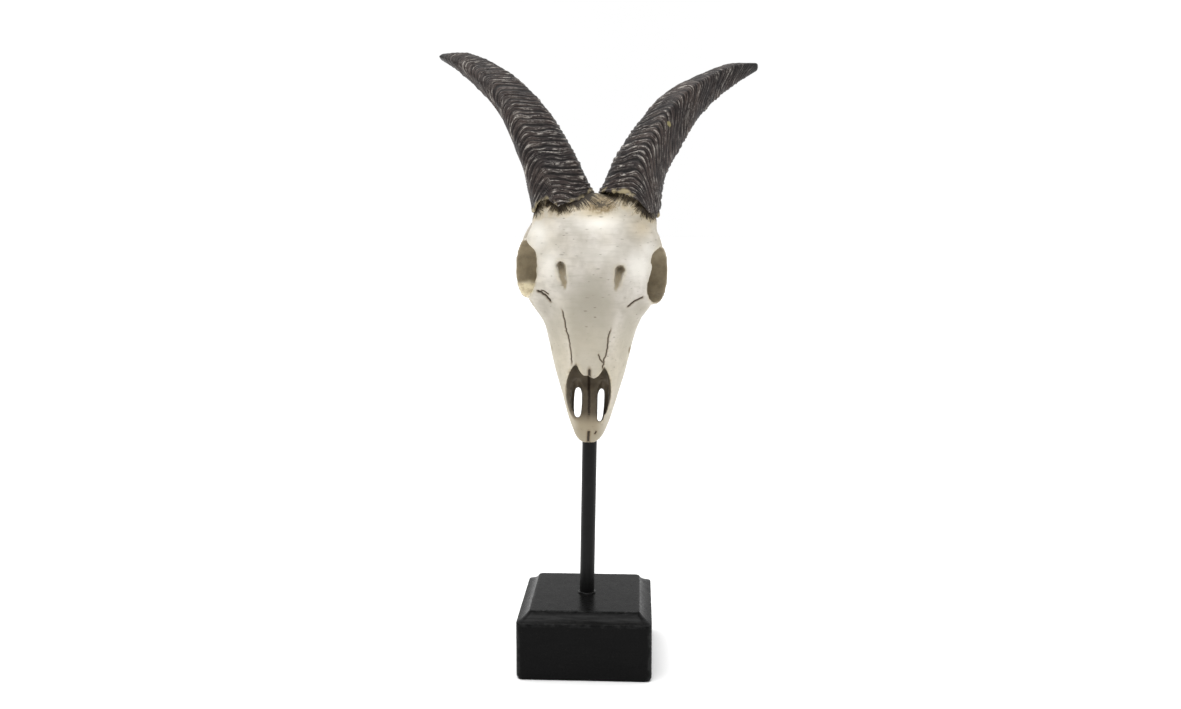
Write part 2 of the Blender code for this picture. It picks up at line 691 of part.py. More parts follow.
def build():
    clear_scene()
    bone = finish_material("aged bone resin", (0.80, 0.76, 0.68), 0.55)
    horn_brown = finish_material("dark horn resin", (0.075, 0.06, 0.05), 0.6)
    black_wood = finish_material("black painted wood", (0.012, 0.012, 0.013), 0.5)
    black_metal = finish_material("black painted steel", (0.012, 0.012, 0.013), 0.45, 0.3)

    skull_frame = bpy.data.objects.new("skull_frame", None)
    bpy.context.scene.collection.objects.link(skull_frame)
    skull_frame.location = SKULL_TIP
    skull_frame.rotation_euler = (0.0, SKULL_ROLL, SKULL_TURN)

    rod_top = SKULL_TIP.z + ROD_IN_SKULL - BASE_HEIGHT
    rod = object_from("rod", rod_shape(ROD_DIAMETER / 2, -ROD_IN_BASE, rod_top, bevel=0.4 * MM), black_metal)
    rod.data.shade_smooth()
    rod.data.set_sharp_from_angle(angle=math.radians(30))
    clearance = ROD_DIAMETER / 2 + GAP
    skull_hole = object_from("skull_hole", rod_shape(clearance, 20 * MM, rod_top + GAP), helper=True)
    base_hole = object_from("base_hole_cutter", rod_shape(clearance, -ROD_IN_BASE - GAP, 20 * MM), helper=True)

    base_block(base_hole, black_wood)
    skull(skull_frame, skull_hole, bone)
    for side in (-1, 1):
        made = horn(side, horn_brown)
        made.parent = skull_frame
        made.data.shade_smooth()
        made.data.set_sharp_from_angle(angle=math.radians(30))


build()
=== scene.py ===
"""Finished look of a cast goat skull ornament: horns, skull, rod and moulded base.

The file is laid out as an add-on. Each operator makes one piece, or a group of like
pieces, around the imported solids, and the panel in the sidebar lists them in order.
"""

import contextlib
import itertools
import math

import bpy
import numpy as np
from bpy.props import FloatProperty, FloatVectorProperty, IntProperty, PointerProperty
from bpy.types import Operator, Panel, PropertyGroup
from mathutils import Euler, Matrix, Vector, kdtree


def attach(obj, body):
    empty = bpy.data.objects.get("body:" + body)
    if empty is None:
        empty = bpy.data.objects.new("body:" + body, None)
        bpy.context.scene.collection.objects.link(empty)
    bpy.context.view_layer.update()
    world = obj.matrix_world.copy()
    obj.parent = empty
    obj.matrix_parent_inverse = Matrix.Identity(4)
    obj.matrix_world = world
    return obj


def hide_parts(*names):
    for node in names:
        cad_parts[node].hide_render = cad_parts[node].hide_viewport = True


bl_info = {
    "name": "Horned Skull Ornament",
    "version": (1, 0, 0),
    "blender": (4, 5, 0),
    "location": "3D View > Sidebar > Ornament",
    "description": "Makes the painted skull, horns, rod and base of a cast goat skull ornament",
    "category": "Add Mesh",
}

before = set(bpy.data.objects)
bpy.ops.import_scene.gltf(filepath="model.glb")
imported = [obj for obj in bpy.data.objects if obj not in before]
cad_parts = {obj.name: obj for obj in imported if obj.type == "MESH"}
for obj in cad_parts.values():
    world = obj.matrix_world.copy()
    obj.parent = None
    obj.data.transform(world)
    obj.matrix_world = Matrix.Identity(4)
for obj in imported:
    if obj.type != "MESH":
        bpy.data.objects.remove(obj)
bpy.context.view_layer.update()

MM = 0.001
LEFT, RIGHT = -1, 1  # sides of the skull as the viewer sees it, and the signs of x there

# Place of the skull: x to the viewer's right, y back from the bridge of the nose, z up
SKULL_TIP = Vector((1.1, -13.8, 90.8)) * MM
SKULL_ROLL = math.radians(1.8)
SKULL_TURN = math.radians(4.0)
SKULL_AXES = Euler((0.0, SKULL_ROLL, SKULL_TURN)).to_matrix()

# Points up the middle of each horn in the skull's axes, in millimetres, with the half
# width there and the turn of the keel from straight ahead towards the outside, in degrees
HORN_ROUTES = {
    LEFT: (
        (-13.0, 18.0, 96.5, 12.6, 35),
        (-18.0, 17.5, 109.5, 10.8, 44),
        (-24.5, 18.5, 122.0, 9.4, 40),
        (-32.5, 22.0, 133.5, 7.7, 34),
        (-42.5, 27.0, 142.5, 6.3, 27),
        (-53.5, 33.0, 149.5, 4.3, 20),
        (-64.5, 40.0, 153.0, 1.1, 10),
    ),
    RIGHT: (
        (14.0, 18.0, 96.0, 12.8, 6),
        (18.0, 17.5, 110.0, 10.8, -3),
        (25.0, 19.0, 122.5, 9.8, -10),
        (33.0, 22.5, 133.5, 8.5, -14),
        (43.0, 28.0, 142.0, 6.3, -19),
        (54.5, 34.0, 149.0, 4.4, -24),
        (66.0, 40.0, 153.5, 1.5, -30),
    ),
}
HORN_SHARE = 0.94  # depth of a horn from front to back as a share of its width
# Cross-section of a horn: degrees away from its keel, and size there
HORN_OUTLINE = ((0, 1.16), (22, 0.97), (48, 0.86), (75, 0.90), (100, 0.98), (135, 0.97), (180, 0.90))
HORN_REACH = 86.0  # about how long a horn is along its route
HORN_STATIONS = 700
HORN_ROWS = 400
HORN_COLUMNS = 132
HORN_LIP = 0.02  # share of the rows that fold in under the lower edge
# How far the rings run down the horn away from its keel, in half widths: angle past the
# keel towards the outside, near the foot and higher up
RING_DROPS = (
    (-180, 0.60, 0.60), (-140, 0.55, 0.85), (-100, 0.48, 1.00), (-60, 0.32, 0.80), (-25, 0.14, 0.36),
    (0, 0.0, 0.0), (25, 0.55, 0.50), (60, 1.35, 1.25), (95, 1.80, 1.60), (130, 1.50, 1.30),
    (180, 0.60, 0.60),
)
RING_SHIFTS = {LEFT: 20.0, RIGHT: 0.0}  # how far the bend of the rings lies inwards of the keel, in degrees
# Lower edge of each horn: angle from straight ahead towards the outside, and its height
# above the flat foot of the solid, in millimetres
RIM_EDGES = {
    LEFT: (
        (-180, 0.0), (-130, -0.6), (-90, -1.5), (-55, -2.8), (-20, -2.6), (8, -2.0), (20, 1.4),
        (30, 2.4), (42, 0.2), (58, -1.5), (90, -1.3), (130, -0.6), (180, 0.0),
    ),
    RIGHT: (
        (-180, 0.0), (-120, -0.6), (-80, 0.0), (-45, 1.6), (-10, 2.4), (4, 2.2), (18, -0.2),
        (38, -1.6), (65, -2.2), (95, -2.5), (140, -1.0), (180, 0.0),
    ),
}

# Eye sockets, in the skull's axes and in millimetres
SOCKET_OUTER_EDGE = 31.0
SOCKET_DEPTH = 14.8
SOCKET_HEIGHT = {LEFT: 68.7, RIGHT: 67.6}
SOCKET_TURN = {LEFT: math.radians(23.5), RIGHT: math.radians(27)}
SOCKET_HALF_HEIGHT = 11.3
SOCKET_HALF_DEPTH = 11.0
SOCKET_PINCH = {LEFT: 0.0, RIGHT: 4.6}  # how far the bone covers the upper front of the opening
# The squared front corner: its shift to the back, the power of its curve and its lower end
SOCKET_CORNERS = {LEFT: (0.0, 2.8, -5.0), RIGHT: (1.9, 8.0, 4.0)}
SOCKET_PRESS = 2.2  # how far the corner is pressed in
# Distance into a socket, and how much wider or narrower it is there
SOCKET_HOLLOW = ((0.0, -0.1), (3.25, -0.5), (7.15, -1.6), (11.0, -3.6), (13.0, -6.6))

# Nose opening, in the skull's axes and in millimetres
NOSE_CENTRE = (-0.4, 21.0)
NOSE_HALF_SIZES = (8.9, 14.5)
# Lower ends of the nasal bones: x and z of each end, and how sharply it bends up beside that
NASAL_TONGUES = ((-1.9, 27.9, 0.38), (1.3, 27.0, 0.29))

# Painted shadow, darkest at both ends of the two slots of the nose: x, z, half width, half height and
# strength
NOSE_SLOT_SHADOWS = (
    (-4.9, 9.4, 2.0, 2.4, 1.3), (4.4, 8.8, 2.0, 2.2, 1.1), (-5.5, 29.0, 2.0, 3.0, 0.7),
    (5.2, 28.0, 1.8, 2.6, 0.7),
)

CHEEK_HOLE = (16.9, 13.4, 37.0)  # small hole in front of each cheek

# Nasal bones: some heights, and their half width there
BRIDGE_WIDTHS = ((28.0, 4.5), (36.0, 6.6), (42.0, 7.6), (54.0, 10.8), (64.0, 12.5))

# Grooves over the eyes: x and z of both ends
BROW_GROOVES = ((-12.6, 70.6, -10.6, 61.2), (10.3, 69.6, 9.1, 61.0))

# Fine cracks: the side that each shows on, its points across and up, its width and depth,
# and how far it strays to both sides, all in millimetres
CRACKS = (
    ("front", ((-12.0, 54.3), (-10.8, 50.5), (-9.9, 45.8), (-8.6, 42.0), (-7.7, 36.2), (-7.3, 31.8)),
     0.22, 0.42, 0.14),
    ("front", ((7.5, 47.5), (6.6, 42.4), (6.2, 38.5), (5.2, 34.0), (4.4, 30.6)), 0.22, 0.40, 0.30),
    ("front", ((2.9, 37.0), (3.6, 35.0), (4.9, 33.4)), 0.20, 0.30, 0.12),
    ("front", ((-21.8, 60.6), (-20.0, 59.6), (-18.0, 58.2), (-15.8, 56.4)), 0.34, 0.70, 0.30),
    ("front", ((-20.4, 60.6), (-18.6, 60.1), (-16.9, 59.0)), 0.22, 0.30, 0.14),
    ("front", ((20.4, 59.3), (17.9, 58.3), (15.6, 57.0), (13.6, 55.2)), 0.28, 0.45, 0.16),
    ("front", ((0.3, -0.5), (0.25, 2.6), (0.35, 5.3)), 0.48, 0.55, 0.08),
    ("front", ((0.2, 9.6), (0.0, 20.0), (-0.2, 26.0), (-0.4, 31.4)), 0.50, 0.60, 0.08),
    ("front", ((2.6, 3.8), (3.4, 5.2)), 0.26, 0.30, 0.06),
    ("left", ((14.6, 30.0), (17.5, 37.0), (18.2, 43.0), (22.5, 50.5), (25.0, 56.0)), 0.17, 0.24, 0.25),
    ("left", ((24.5, 73.0), (27.5, 76.5), (29.5, 79.0)), 0.17, 0.24, 0.20),
    ("left", ((20.0, 84.0), (26.0, 86.5), (31.0, 85.0), (36.0, 87.0)), 0.17, 0.24, 0.28),
    ("right", ((14.2, 29.0), (17.0, 36.0), (18.6, 43.5), (22.0, 50.0), (25.2, 55.0)), 0.17, 0.24, 0.25),
    ("right", ((24.2, 72.0), (27.2, 75.0), (29.6, 77.6)), 0.17, 0.24, 0.20),
    ("right", ((20.4, 83.0), (25.5, 85.5), (31.5, 84.2), (36.2, 86.0)), 0.17, 0.24, 0.28),
    ("back", ((-15.0, 88.0), (-8.0, 91.5), (0.0, 92.4), (8.0, 91.3), (15.0, 87.6)), 0.17, 0.24, 0.30),
    ("back", ((0.0, 28.5), (0.2, 40.0), (0.0, 54.0)), 0.17, 0.24, 0.12),
)

# Soft spots laid over the face: x, z, half width, half height and strength of each. Painted highlights, where
# the forehead and brows catch the light:
PAINTED_HIGHLIGHT_SPOTS = (
    (1.5, 87.5, 7.5, 4.0, 1.0), (-17.0, 71.0, 4.0, 6.0, 0.7), (17.5, 71.0, 5.0, 6.0, 0.9),
    (4.0, 76.0, 10.0, 4.0, 0.35), (-21.5, 82.0, 4.0, 6.0, 0.85), (20.8, 77.5, 2.6, 4.5, 0.55),
)
# Painted shade down the nose, on the cheeks and forehead and at the tip of the muzzle:
PAINTED_SHADE_SPOTS = (
    (-0.5, 57.5, 9.5, 11.0, 0.95), (-9.5, 83.0, 7.0, 4.5, 0.25), (13.0, 83.5, 6.0, 5.0, 0.40),
    (-14.5, 47.0, 4.5, 10.0, 0.75), (14.5, 48.0, 4.5, 10.0, 0.85), (18.5, 54.5, 5.0, 5.0, 0.85),
    (-18.0, 53.0, 5.0, 5.0, 0.75), (0.0, 3.0, 7.0, 6.5, 1.0),
)
RUSTY_SPOTS = (
    (18.5, 86.0, 4.0, 4.0, 0.65), (-18.5, 87.0, 2.5, 2.0, 0.25), (-0.5, 91.2, 7.0, 2.4, 0.95),
    (-5.0, 13.5, 5.0, 3.5, 0.35),
)

# How much cream paint is left on the lower edge of each horn: angle and share
RIM_PAINT = {
    LEFT: (
        (-180, 0.5), (-90, 1.0), (-60, 1.0), (-40, 0.4), (-10, 0.5), (8, 0.9), (25, 0.35), (55, 0.6),
        (85, 1.0), (120, 0.6), (180, 0.5),
    ),
    RIGHT: ((-180, 0.5), (-90, 1.0), (-10, 1.0), (8, 0.35), (60, 0.25), (90, 0.7), (180, 0.5)),
}
# Yellow chip of the right horn: distance up the horn, angle round it and half size
CHIP_PLACE = (31.5, math.radians(4), 1.25)

# Base and rod
BASE_SIDE = 53.3 * MM
BASE_HEIGHT = 26.5 * MM
BASE_TOP_SIDE = 43.6 * MM
BASE_WALL_HEIGHT = 22.6 * MM
BASE_CORNER_RADIUS = 2.4 * MM
BASE_SLICES = 10  # parts that each side of the block is cut into
BASE_STOREYS = 5  # parts that its wall is cut into
COVE_STEPS = 9
ROD_RADIUS = 3.0 * MM
ROD_LEAN = math.radians(1.0)

CAMERA_PLACE = (0.02023, -0.39776, 0.17756)
CAMERA_PITCH = math.radians(90 - 7.44)
CAMERA_YAW = math.radians(2.7)
CAMERA_LENS = 30.483
CAMERA_SENSOR = 36.0
SUN_TURN = (math.radians(9), math.radians(-7), 0.0)
SUN_SOFTNESS = math.radians(55)
FLOOR_SIDE = 24.0
FLOOR_DROP = 0.1 * MM


def colour_setting(name, default, description):
    return FloatVectorProperty(
        name=name, description=description, default=default, size=3, min=0.0, max=1.0, subtype="COLOR"
    )


def length_setting(name, default, description):
    return FloatProperty(
        name=name, description=description, default=default, min=0.0, precision=5, unit="LENGTH",
        subtype="DISTANCE",
    )


def strength_setting(name, default, description):
    return FloatProperty(name=name, description=description, default=default, min=0.0)


class SkullLook(PropertyGroup):
    grid: length_setting("Grid", 0.595 * MM, "Size of the mesh's faces before its fine parts are divided")
    broad_smoothing: IntProperty(
        name="Smoothing", description="Passes that even out the broad bones", default=16, min=0
    )
    groove_depth: length_setting("Brow groove depth", 0.25 * MM, "How much deeper the brow grooves are cut")
    lump_height: length_setting("Lump height", 0.10 * MM, "Height of the gentle unevenness of the cast")
    bone: colour_setting("Bone", (0.69, 0.65, 0.595), "Main paint of the skull")
    bone_warm: colour_setting("Warm bone", (0.62, 0.545, 0.385), "Yellowish paint on edges and lower parts")
    bone_grey: colour_setting("Grey bone", (0.37, 0.34, 0.275), "Duller paint down the bridge of the nose")
    # Also laid in every hollow, where it partly stands for shade
    wash: colour_setting("Wash", (0.33, 0.275, 0.185), "Brown paint in the sockets")
    nose: colour_setting("Nose", (0.115, 0.092, 0.062), "Darker paint in the nose")
    # Also the painted shadow at the ends of the nose's slots
    line: colour_setting("Line", (0.026, 0.016, 0.008), "Paint in cracks and pits")
    hair: colour_setting("Hair", (0.016, 0.010, 0.005), "Dark strokes under the horns")
    # Brown band under the horns' rims: partly brown stain, partly painted shadow where the rims overhang
    smear_and_shadow: colour_setting("Smear", (0.052, 0.037, 0.017), "Brown band that the strokes start from")
    stain: colour_setting("Stain", (0.50, 0.39, 0.21), "Tan glaze round the strokes")
    fringe: colour_setting("Fringe", (0.22, 0.155, 0.07), "Brown paint between the horns")
    # Painted shade: darker colour for the bone where it faces sideways
    flank: colour_setting("Flank", (0.37, 0.33, 0.235), "Duller paint where the bone faces sideways")
    # Painted highlight: the lightest colour, laid where the forehead and brows catch the light
    pale: colour_setting("Pale bone", (0.90, 0.87, 0.80), "Lightest paint of the forehead and brows")
    teeth: colour_setting("Teeth", (0.55, 0.44, 0.26), "Yellowish paint of the upper teeth")
    halo: colour_setting("Halo", (0.36, 0.27, 0.15), "Soft brown round the sockets and the nose")
    crack_edge: colour_setting("Crack edge", (0.20, 0.13, 0.06), "Brown to both sides of each crack")
    cream: colour_setting("Cream", (0.95, 0.86, 0.62), "Light paint low in the left socket")
    cream_dark: colour_setting("Dark cream", (0.42, 0.32, 0.17), "Spots in the light paint of that socket")


class HornLook(PropertyGroup):
    ring_spacing: length_setting("Ring spacing", 2.45 * MM, "Usual distance between growth rings")
    ring_height: length_setting("Ring height", 0.60 * MM, "Height of the growth rings at the foot of a horn")
    dark: colour_setting("Horn", (0.026, 0.021, 0.021), "Main paint of the horns")
    brown: colour_setting("Brown", (0.062, 0.045, 0.039), "Brown patches of the horns")
    # Partly dry-brushed paint, partly painted highlight on the rings' crests and fine lines
    crest: colour_setting("Crest", (0.56, 0.52, 0.47), "Dry-brushed paint on the rings' crests")
    edge: colour_setting("Edge", (0.38, 0.315, 0.185), "Cream paint of the ragged lower edge")
    # Painted shade: near black laid in the furrows between the rings
    furrow_shade: colour_setting("Furrow", (0.006, 0.005, 0.005), "Paint left between the rings")
    chip: colour_setting("Chip", (0.34, 0.30, 0.14), "Yellow chip of the right horn")
    tip: colour_setting("Tip", (0.010, 0.009, 0.009), "Smooth paint of the tips")


class StandLook(PropertyGroup):
    paint: colour_setting("Paint", (0.0036, 0.0036, 0.0036), "Black paint of the wooden base")
    # Lighter paint worn along the edges and in streaks, also used for the painted sheen in the moulding
    worn_and_sheen: colour_setting("Worn edge", (0.020, 0.020, 0.020), "Thin paint along the base's edges")
    rod_paint: colour_setting("Rod paint", (0.0045, 0.0045, 0.0045), "Black paint of the rod")
    lip: length_setting("Lip", 0.35 * MM, "Height of the small upright step above the moulding")


class StageLook(PropertyGroup):
    floor: colour_setting("Floor", (0.95, 0.95, 0.95), "Colour of the floor")
    front_light: strength_setting("Front", 0.12, "Strength of the light from the camera's side")
    back_light: strength_setting("Back", 1.0, "Strength of the light from behind")
    overhead: strength_setting("Overhead", 3.4, "Strength of the broad overhead light")
    side_light: strength_setting("Side", 0.55, "Extra strength of the light from both sides")


# Helpers for meshes

SCATTER = (127.1, 311.7, 74.7)  # makes a number that looks random from the place of a point


def pick_only(piece):
    bpy.ops.object.select_all(action="DESELECT")
    piece.select_set(True)
    bpy.context.view_layer.objects.active = piece


@contextlib.contextmanager
def edit_mode(piece):
    """Edit mode on one piece, with all of its mesh selected at the start."""
    pick_only(piece)
    bpy.ops.object.mode_set(mode="EDIT")
    bpy.ops.mesh.select_all(action="SELECT")
    yield
    bpy.ops.object.mode_set(mode="OBJECT")


def select_parts(piece, kind, wanted):
    """In edit mode, selects only the faces or edges of the mesh that wanted gives true for."""
    bpy.ops.mesh.select_mode(type=kind)
    bpy.ops.mesh.select_all(action="DESELECT")
    bpy.ops.object.mode_set(mode="OBJECT")
    parts = piece.data.polygons if kind == "FACE" else piece.data.edges
    parts.foreach_set("select", [wanted(part) for part in parts])
    bpy.ops.object.mode_set(mode="EDIT")


def apply_modifier(piece, kind, **settings):
    """Adds a modifier to the piece and applies it."""
    pick_only(piece)
    added = piece.modifiers.new(kind.title(), kind)
    for key, value in settings.items():
        setattr(added, key, value)
    bpy.ops.object.modifier_apply(modifier=added.name)


def merged_copy(node, name):
    """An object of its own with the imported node's mesh, its loose triangles joined up."""
    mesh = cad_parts[node].data.copy()
    mesh.materials.clear()
    piece = bpy.data.objects.new(name, mesh)
    bpy.context.scene.collection.objects.link(piece)
    with edit_mode(piece):
        bpy.ops.mesh.remove_doubles(threshold=0.002 * MM)
    return piece


def points_of(mesh):
    flat = np.empty(len(mesh.vertices) * 3)
    mesh.vertices.foreach_get("co", flat)
    return flat.reshape(-1, 3)


def normals_of(mesh):
    flat = np.empty(len(mesh.vertices) * 3, dtype=np.float32)
    mesh.vertex_normals.foreach_get("vector", flat)
    return flat.reshape(-1, 3).astype(float)


def move_points(mesh, points):
    mesh.vertices.foreach_set("co", np.asarray(points, dtype=np.float32).ravel())
    mesh.update()


def write_masks(mesh, **masks):
    """Stores one number for each point under each name, for the material to read."""
    for name, values in masks.items():
        layer = mesh.attributes.new(name, "FLOAT", "POINT")
        layer.data.foreach_set("value", np.asarray(values, dtype=np.float32))


def divide_faces(piece, near, cuts):
    """Divides the faces that have a point where near is true."""
    with edit_mode(piece):
        select_parts(piece, "FACE", lambda face: any(near[n] for n in face.vertices))
        bpy.ops.mesh.subdivide(number_cuts=cuts)


def ramp(values, low, high):
    """0 below low and 1 above high, with a smooth step between; low may be the larger."""
    t = np.clip((values - low) / (high - low), 0.0, 1.0)
    return t * t * (3.0 - 2.0 * t)


def blobs(points, size, seed):
    """Smooth noise from -1 to 1, with blobs about size across."""
    q = points / size + seed * 17.31
    cell = np.floor(q)
    t = q - cell
    t = t * t * (3.0 - 2.0 * t)
    total = np.zeros(len(points))
    for corner in itertools.product((0.0, 1.0), repeat=points.shape[1]):
        place = cell + np.array(corner)
        spread = np.sin(place @ np.array(SCATTER[:points.shape[1]])) * 43758.5453
        total += ((spread - np.floor(spread)) * 2.0 - 1.0) * np.prod(np.where(corner, t, 1.0 - t), axis=1)
    return total


def smooth_curve(rows, per_span):
    """Rows of numbers along a smooth curve through the given rows, ends included."""
    rows = [np.array(row, dtype=float) for row in rows]
    padded = [2 * rows[0] - rows[1], *rows, 2 * rows[-1] - rows[-2]]
    made = []
    for a, b, c, d in zip(padded, padded[1:], padded[2:], padded[3:]):
        for k in range(per_span):
            t = k / per_span
            bent = (2 * a - 5 * b + 4 * c - d) * t * t + (3 * b - a - 3 * c + d) * t ** 3
            made.append(0.5 * (2 * b + (c - a) * t + bent))
    return np.array([*made, rows[-1]])


def to_skull(points):
    """Points of the scene in the skull's axes, in millimetres."""
    return (points - np.array(SKULL_TIP)) @ np.array(SKULL_AXES) / MM


def from_skull(points):
    return (points * MM) @ np.array(SKULL_AXES).T + np.array(SKULL_TIP)


def nearest(points, targets):
    """Distance from each point to the nearest target, and which target that is."""
    tree = kdtree.KDTree(len(targets))
    for number, target in enumerate(targets):
        tree.insert(target, number)
    tree.balance()
    found = [tree.find(point) for point in points]
    return np.array([f[2] for f in found]), np.array([f[1] for f in found])


# Helpers for materials


class Nodes:
    """A node tree on its way. Each method adds a node and gives the socket that comes out."""

    def __init__(self, tree):
        self.tree = tree

    def fill(self, socket, value):
        if isinstance(value, bpy.types.NodeSocket):
            self.tree.links.new(value, socket)
        elif socket.type == "RGBA" and len(value) == 3:
            socket.default_value = (*value, 1.0)
        else:
            socket.default_value = value

    def add(self, kind, settings=None, **values):
        """Adds a node. An underscore in the name of a value stands for a space."""
        made = self.tree.nodes.new("ShaderNode" + kind)
        for key, value in (settings or {}).items():
            setattr(made, key, value)
        for key, value in values.items():
            self.fill(made.inputs[key.replace("_", " ")], value)
        return made.outputs

    def maths(self, operation, *values, clamp=False):
        made = self.add("Math", {"operation": operation, "use_clamp": clamp})["Value"]
        for socket, value in zip(made.node.inputs, values):
            self.fill(socket, value)
        return made

    def times(self, first, second, clamp=False):
        return self.maths("MULTIPLY", first, second, clamp=clamp)

    def scaled(self, value, factor, offset):
        return self.maths("MULTIPLY_ADD", value, factor, offset)

    def mix(self, factor, first, second):
        made = self.add("Mix", {"data_type": "RGBA", "blend_type": "MIX"})[2]
        for number, value in ((0, factor), (6, first), (7, second)):
            self.fill(made.node.inputs[number], value)
        return made

    def step(self, value, low, high, top=1.0):
        """A smooth step of the value from 0 at low to top at high."""
        return self.add(
            "MapRange", {"interpolation_type": "SMOOTHSTEP"},
            Value=value, From_Min=low, From_Max=high, To_Min=0.0, To_Max=top,
        )["Result"]

    def mask(self, name):
        return self.add("Attribute", {"attribute_name": name})["Fac"]

    def vector(self, x, y, z):
        return self.add("CombineXYZ", X=x, Y=y, Z=z)["Vector"]

    def noise(self, place, scale, detail=3.0, roughness=0.55):
        return self.add("TexNoise", Vector=place, Scale=scale, Detail=detail, Roughness=roughness)["Fac"]

    def stretched(self, place, scale):
        return self.add("Mapping", Vector=place, Scale=scale)["Vector"]

    def group(self, name, **values):
        return self.add("Group", {"node_tree": bpy.data.node_groups[name]}, **values)


class Paint(Nodes):
    """A painted material on its way, with its coats of colour and its bumps so far.

    broad, fine and grain are the scales of the drift of tone, of its clouds and of the grain.
    """

    def __init__(self, name, specular, broad, fine, grain):
        ensure_groups()
        self.made = bpy.data.materials.new(name)
        self.made.use_nodes = True
        super().__init__(self.made.node_tree)
        self.shader = self.tree.nodes["Principled BSDF"]
        self.shader.inputs["Specular IOR Level"].default_value = specular
        self.place = self.add("TexCoord")["Object"]
        self.tone = self.group("brushed_tone", Place=self.place, Broad=broad, Fine=fine)
        self.grain = self.group("paint_grain", Place=self.place, Scale=grain)
        self.colour = self.under = None

    def coat(self, mask, colour, share=None):
        """Lays a colour over the last one where the mask is, as strong as its share."""
        if share is not None:
            mask = self.times(mask, share)
        self.colour = self.mix(mask, self.colour, colour)

    def bump(self, height, distance, strength):
        made = self.add("Bump", Strength=strength, Distance=distance, Height=height)["Normal"]
        if self.under:
            self.tree.links.new(self.under, made.node.inputs["Normal"])
        self.under = made

    def finish(self, rough, grain_height, grain_strength):
        """Adds the grain, joins everything to the shader and gives the material."""
        self.bump(self.grain["Height"], grain_height, grain_strength)
        rough = self.maths("ADD", rough, self.grain["Gloss"], clamp=True)
        ends = {"Base Color": self.colour, "Roughness": rough, "Normal": self.under}
        for name, value in ends.items():
            self.tree.links.new(value, self.shader.inputs[name])
        return self.made


def toned(colour, share):
    """The colour made darker, or lighter where the share is over 1."""
    return [share * part for part in colour]


def new_group(name, numbers, results):
    """An empty shader group that takes a place and some numbers, and gives numbers."""
    group = bpy.data.node_groups.new(name, "ShaderNodeTree")
    group.interface.new_socket("Place", in_out="INPUT", socket_type="NodeSocketVector")
    for way, labels in (("INPUT", numbers), ("OUTPUT", results)):
        for label in labels:
            group.interface.new_socket(label, in_out=way, socket_type="NodeSocketFloat")
    start, end = group.nodes.new("NodeGroupInput"), group.nodes.new("NodeGroupOutput")
    return Nodes(group), start.outputs, end.inputs


def build_tone_group():
    """Uneven brushed paint: a broad drift of tone with finer clouds in it."""
    group, start, end = new_group("brushed_tone", ("Broad", "Fine"), ("Tone", "Clouds"))
    broad = group.noise(start["Place"], start["Broad"], 2.0)
    fine = group.noise(start["Place"], start["Fine"], 4.0, 0.65)
    group.fill(end["Tone"], group.step(broad, 0.32, 0.68))
    group.fill(end["Clouds"], group.step(fine, 0.35, 0.70))


def build_pit_group():
    """Small pits and nicks, as a mask."""
    group, start, end = new_group("casting_pits", ("Scale", "Amount"), ("Pits",))
    cells = group.add("TexVoronoi", {"feature": "F1"}, Vector=start["Place"], Scale=start["Scale"])
    chance = group.add("SeparateColor", Color=cells["Color"])
    kept = group.maths("LESS_THAN", chance["Red"], start["Amount"])
    size = group.scaled(chance["Green"], 0.20, 0.08)
    dot = group.step(group.maths("DIVIDE", cells["Distance"], size), 1.0, 0.35)
    group.fill(end["Pits"], group.times(dot, kept))


def build_grain_group():
    """Fine grain of brushed paint, as a height and as a change of gloss."""
    group, start, end = new_group("paint_grain", ("Scale",), ("Height", "Gloss"))
    grain = group.noise(start["Place"], start["Scale"], 5.0, 0.7)
    group.fill(end["Height"], grain)
    group.fill(end["Gloss"], group.scaled(grain, 0.30, -0.15))


def ensure_groups():
    builders = {
        "brushed_tone": build_tone_group, "casting_pits": build_pit_group, "paint_grain": build_grain_group,
    }
    for name, build in builders.items():
        if name not in bpy.data.node_groups:
            build()


# Horns


def horn_path(side):
    """Fine stations up a horn: reach in millimetres, rows of the route, and the three axes."""
    dense = smooth_curve(HORN_ROUTES[side], 60)
    steps = np.linalg.norm(np.diff(dense[:, :3], axis=0), axis=1)
    reach = np.concatenate([[0.0], np.cumsum(steps)])
    even = np.linspace(0.0, reach[-1], HORN_STATIONS)
    rows = np.stack([np.interp(even, reach, dense[:, n]) for n in range(5)], axis=1)
    heading = np.gradient(rows[:, :3], axis=0)
    for _ in range(20):
        heading[1:-1] = (heading[:-2] + heading[1:-1] * 2 + heading[2:]) / 4
    heading /= np.linalg.norm(heading, axis=1, keepdims=True)
    front = np.array((0.0, -1.0, 0.0)) + heading * heading[:, 1:2]
    front /= np.linalg.norm(front, axis=1, keepdims=True)
    outward = np.cross(heading, front)
    outward *= np.sign(outward[:, :1] * side)
    return even, rows, outward, front, heading


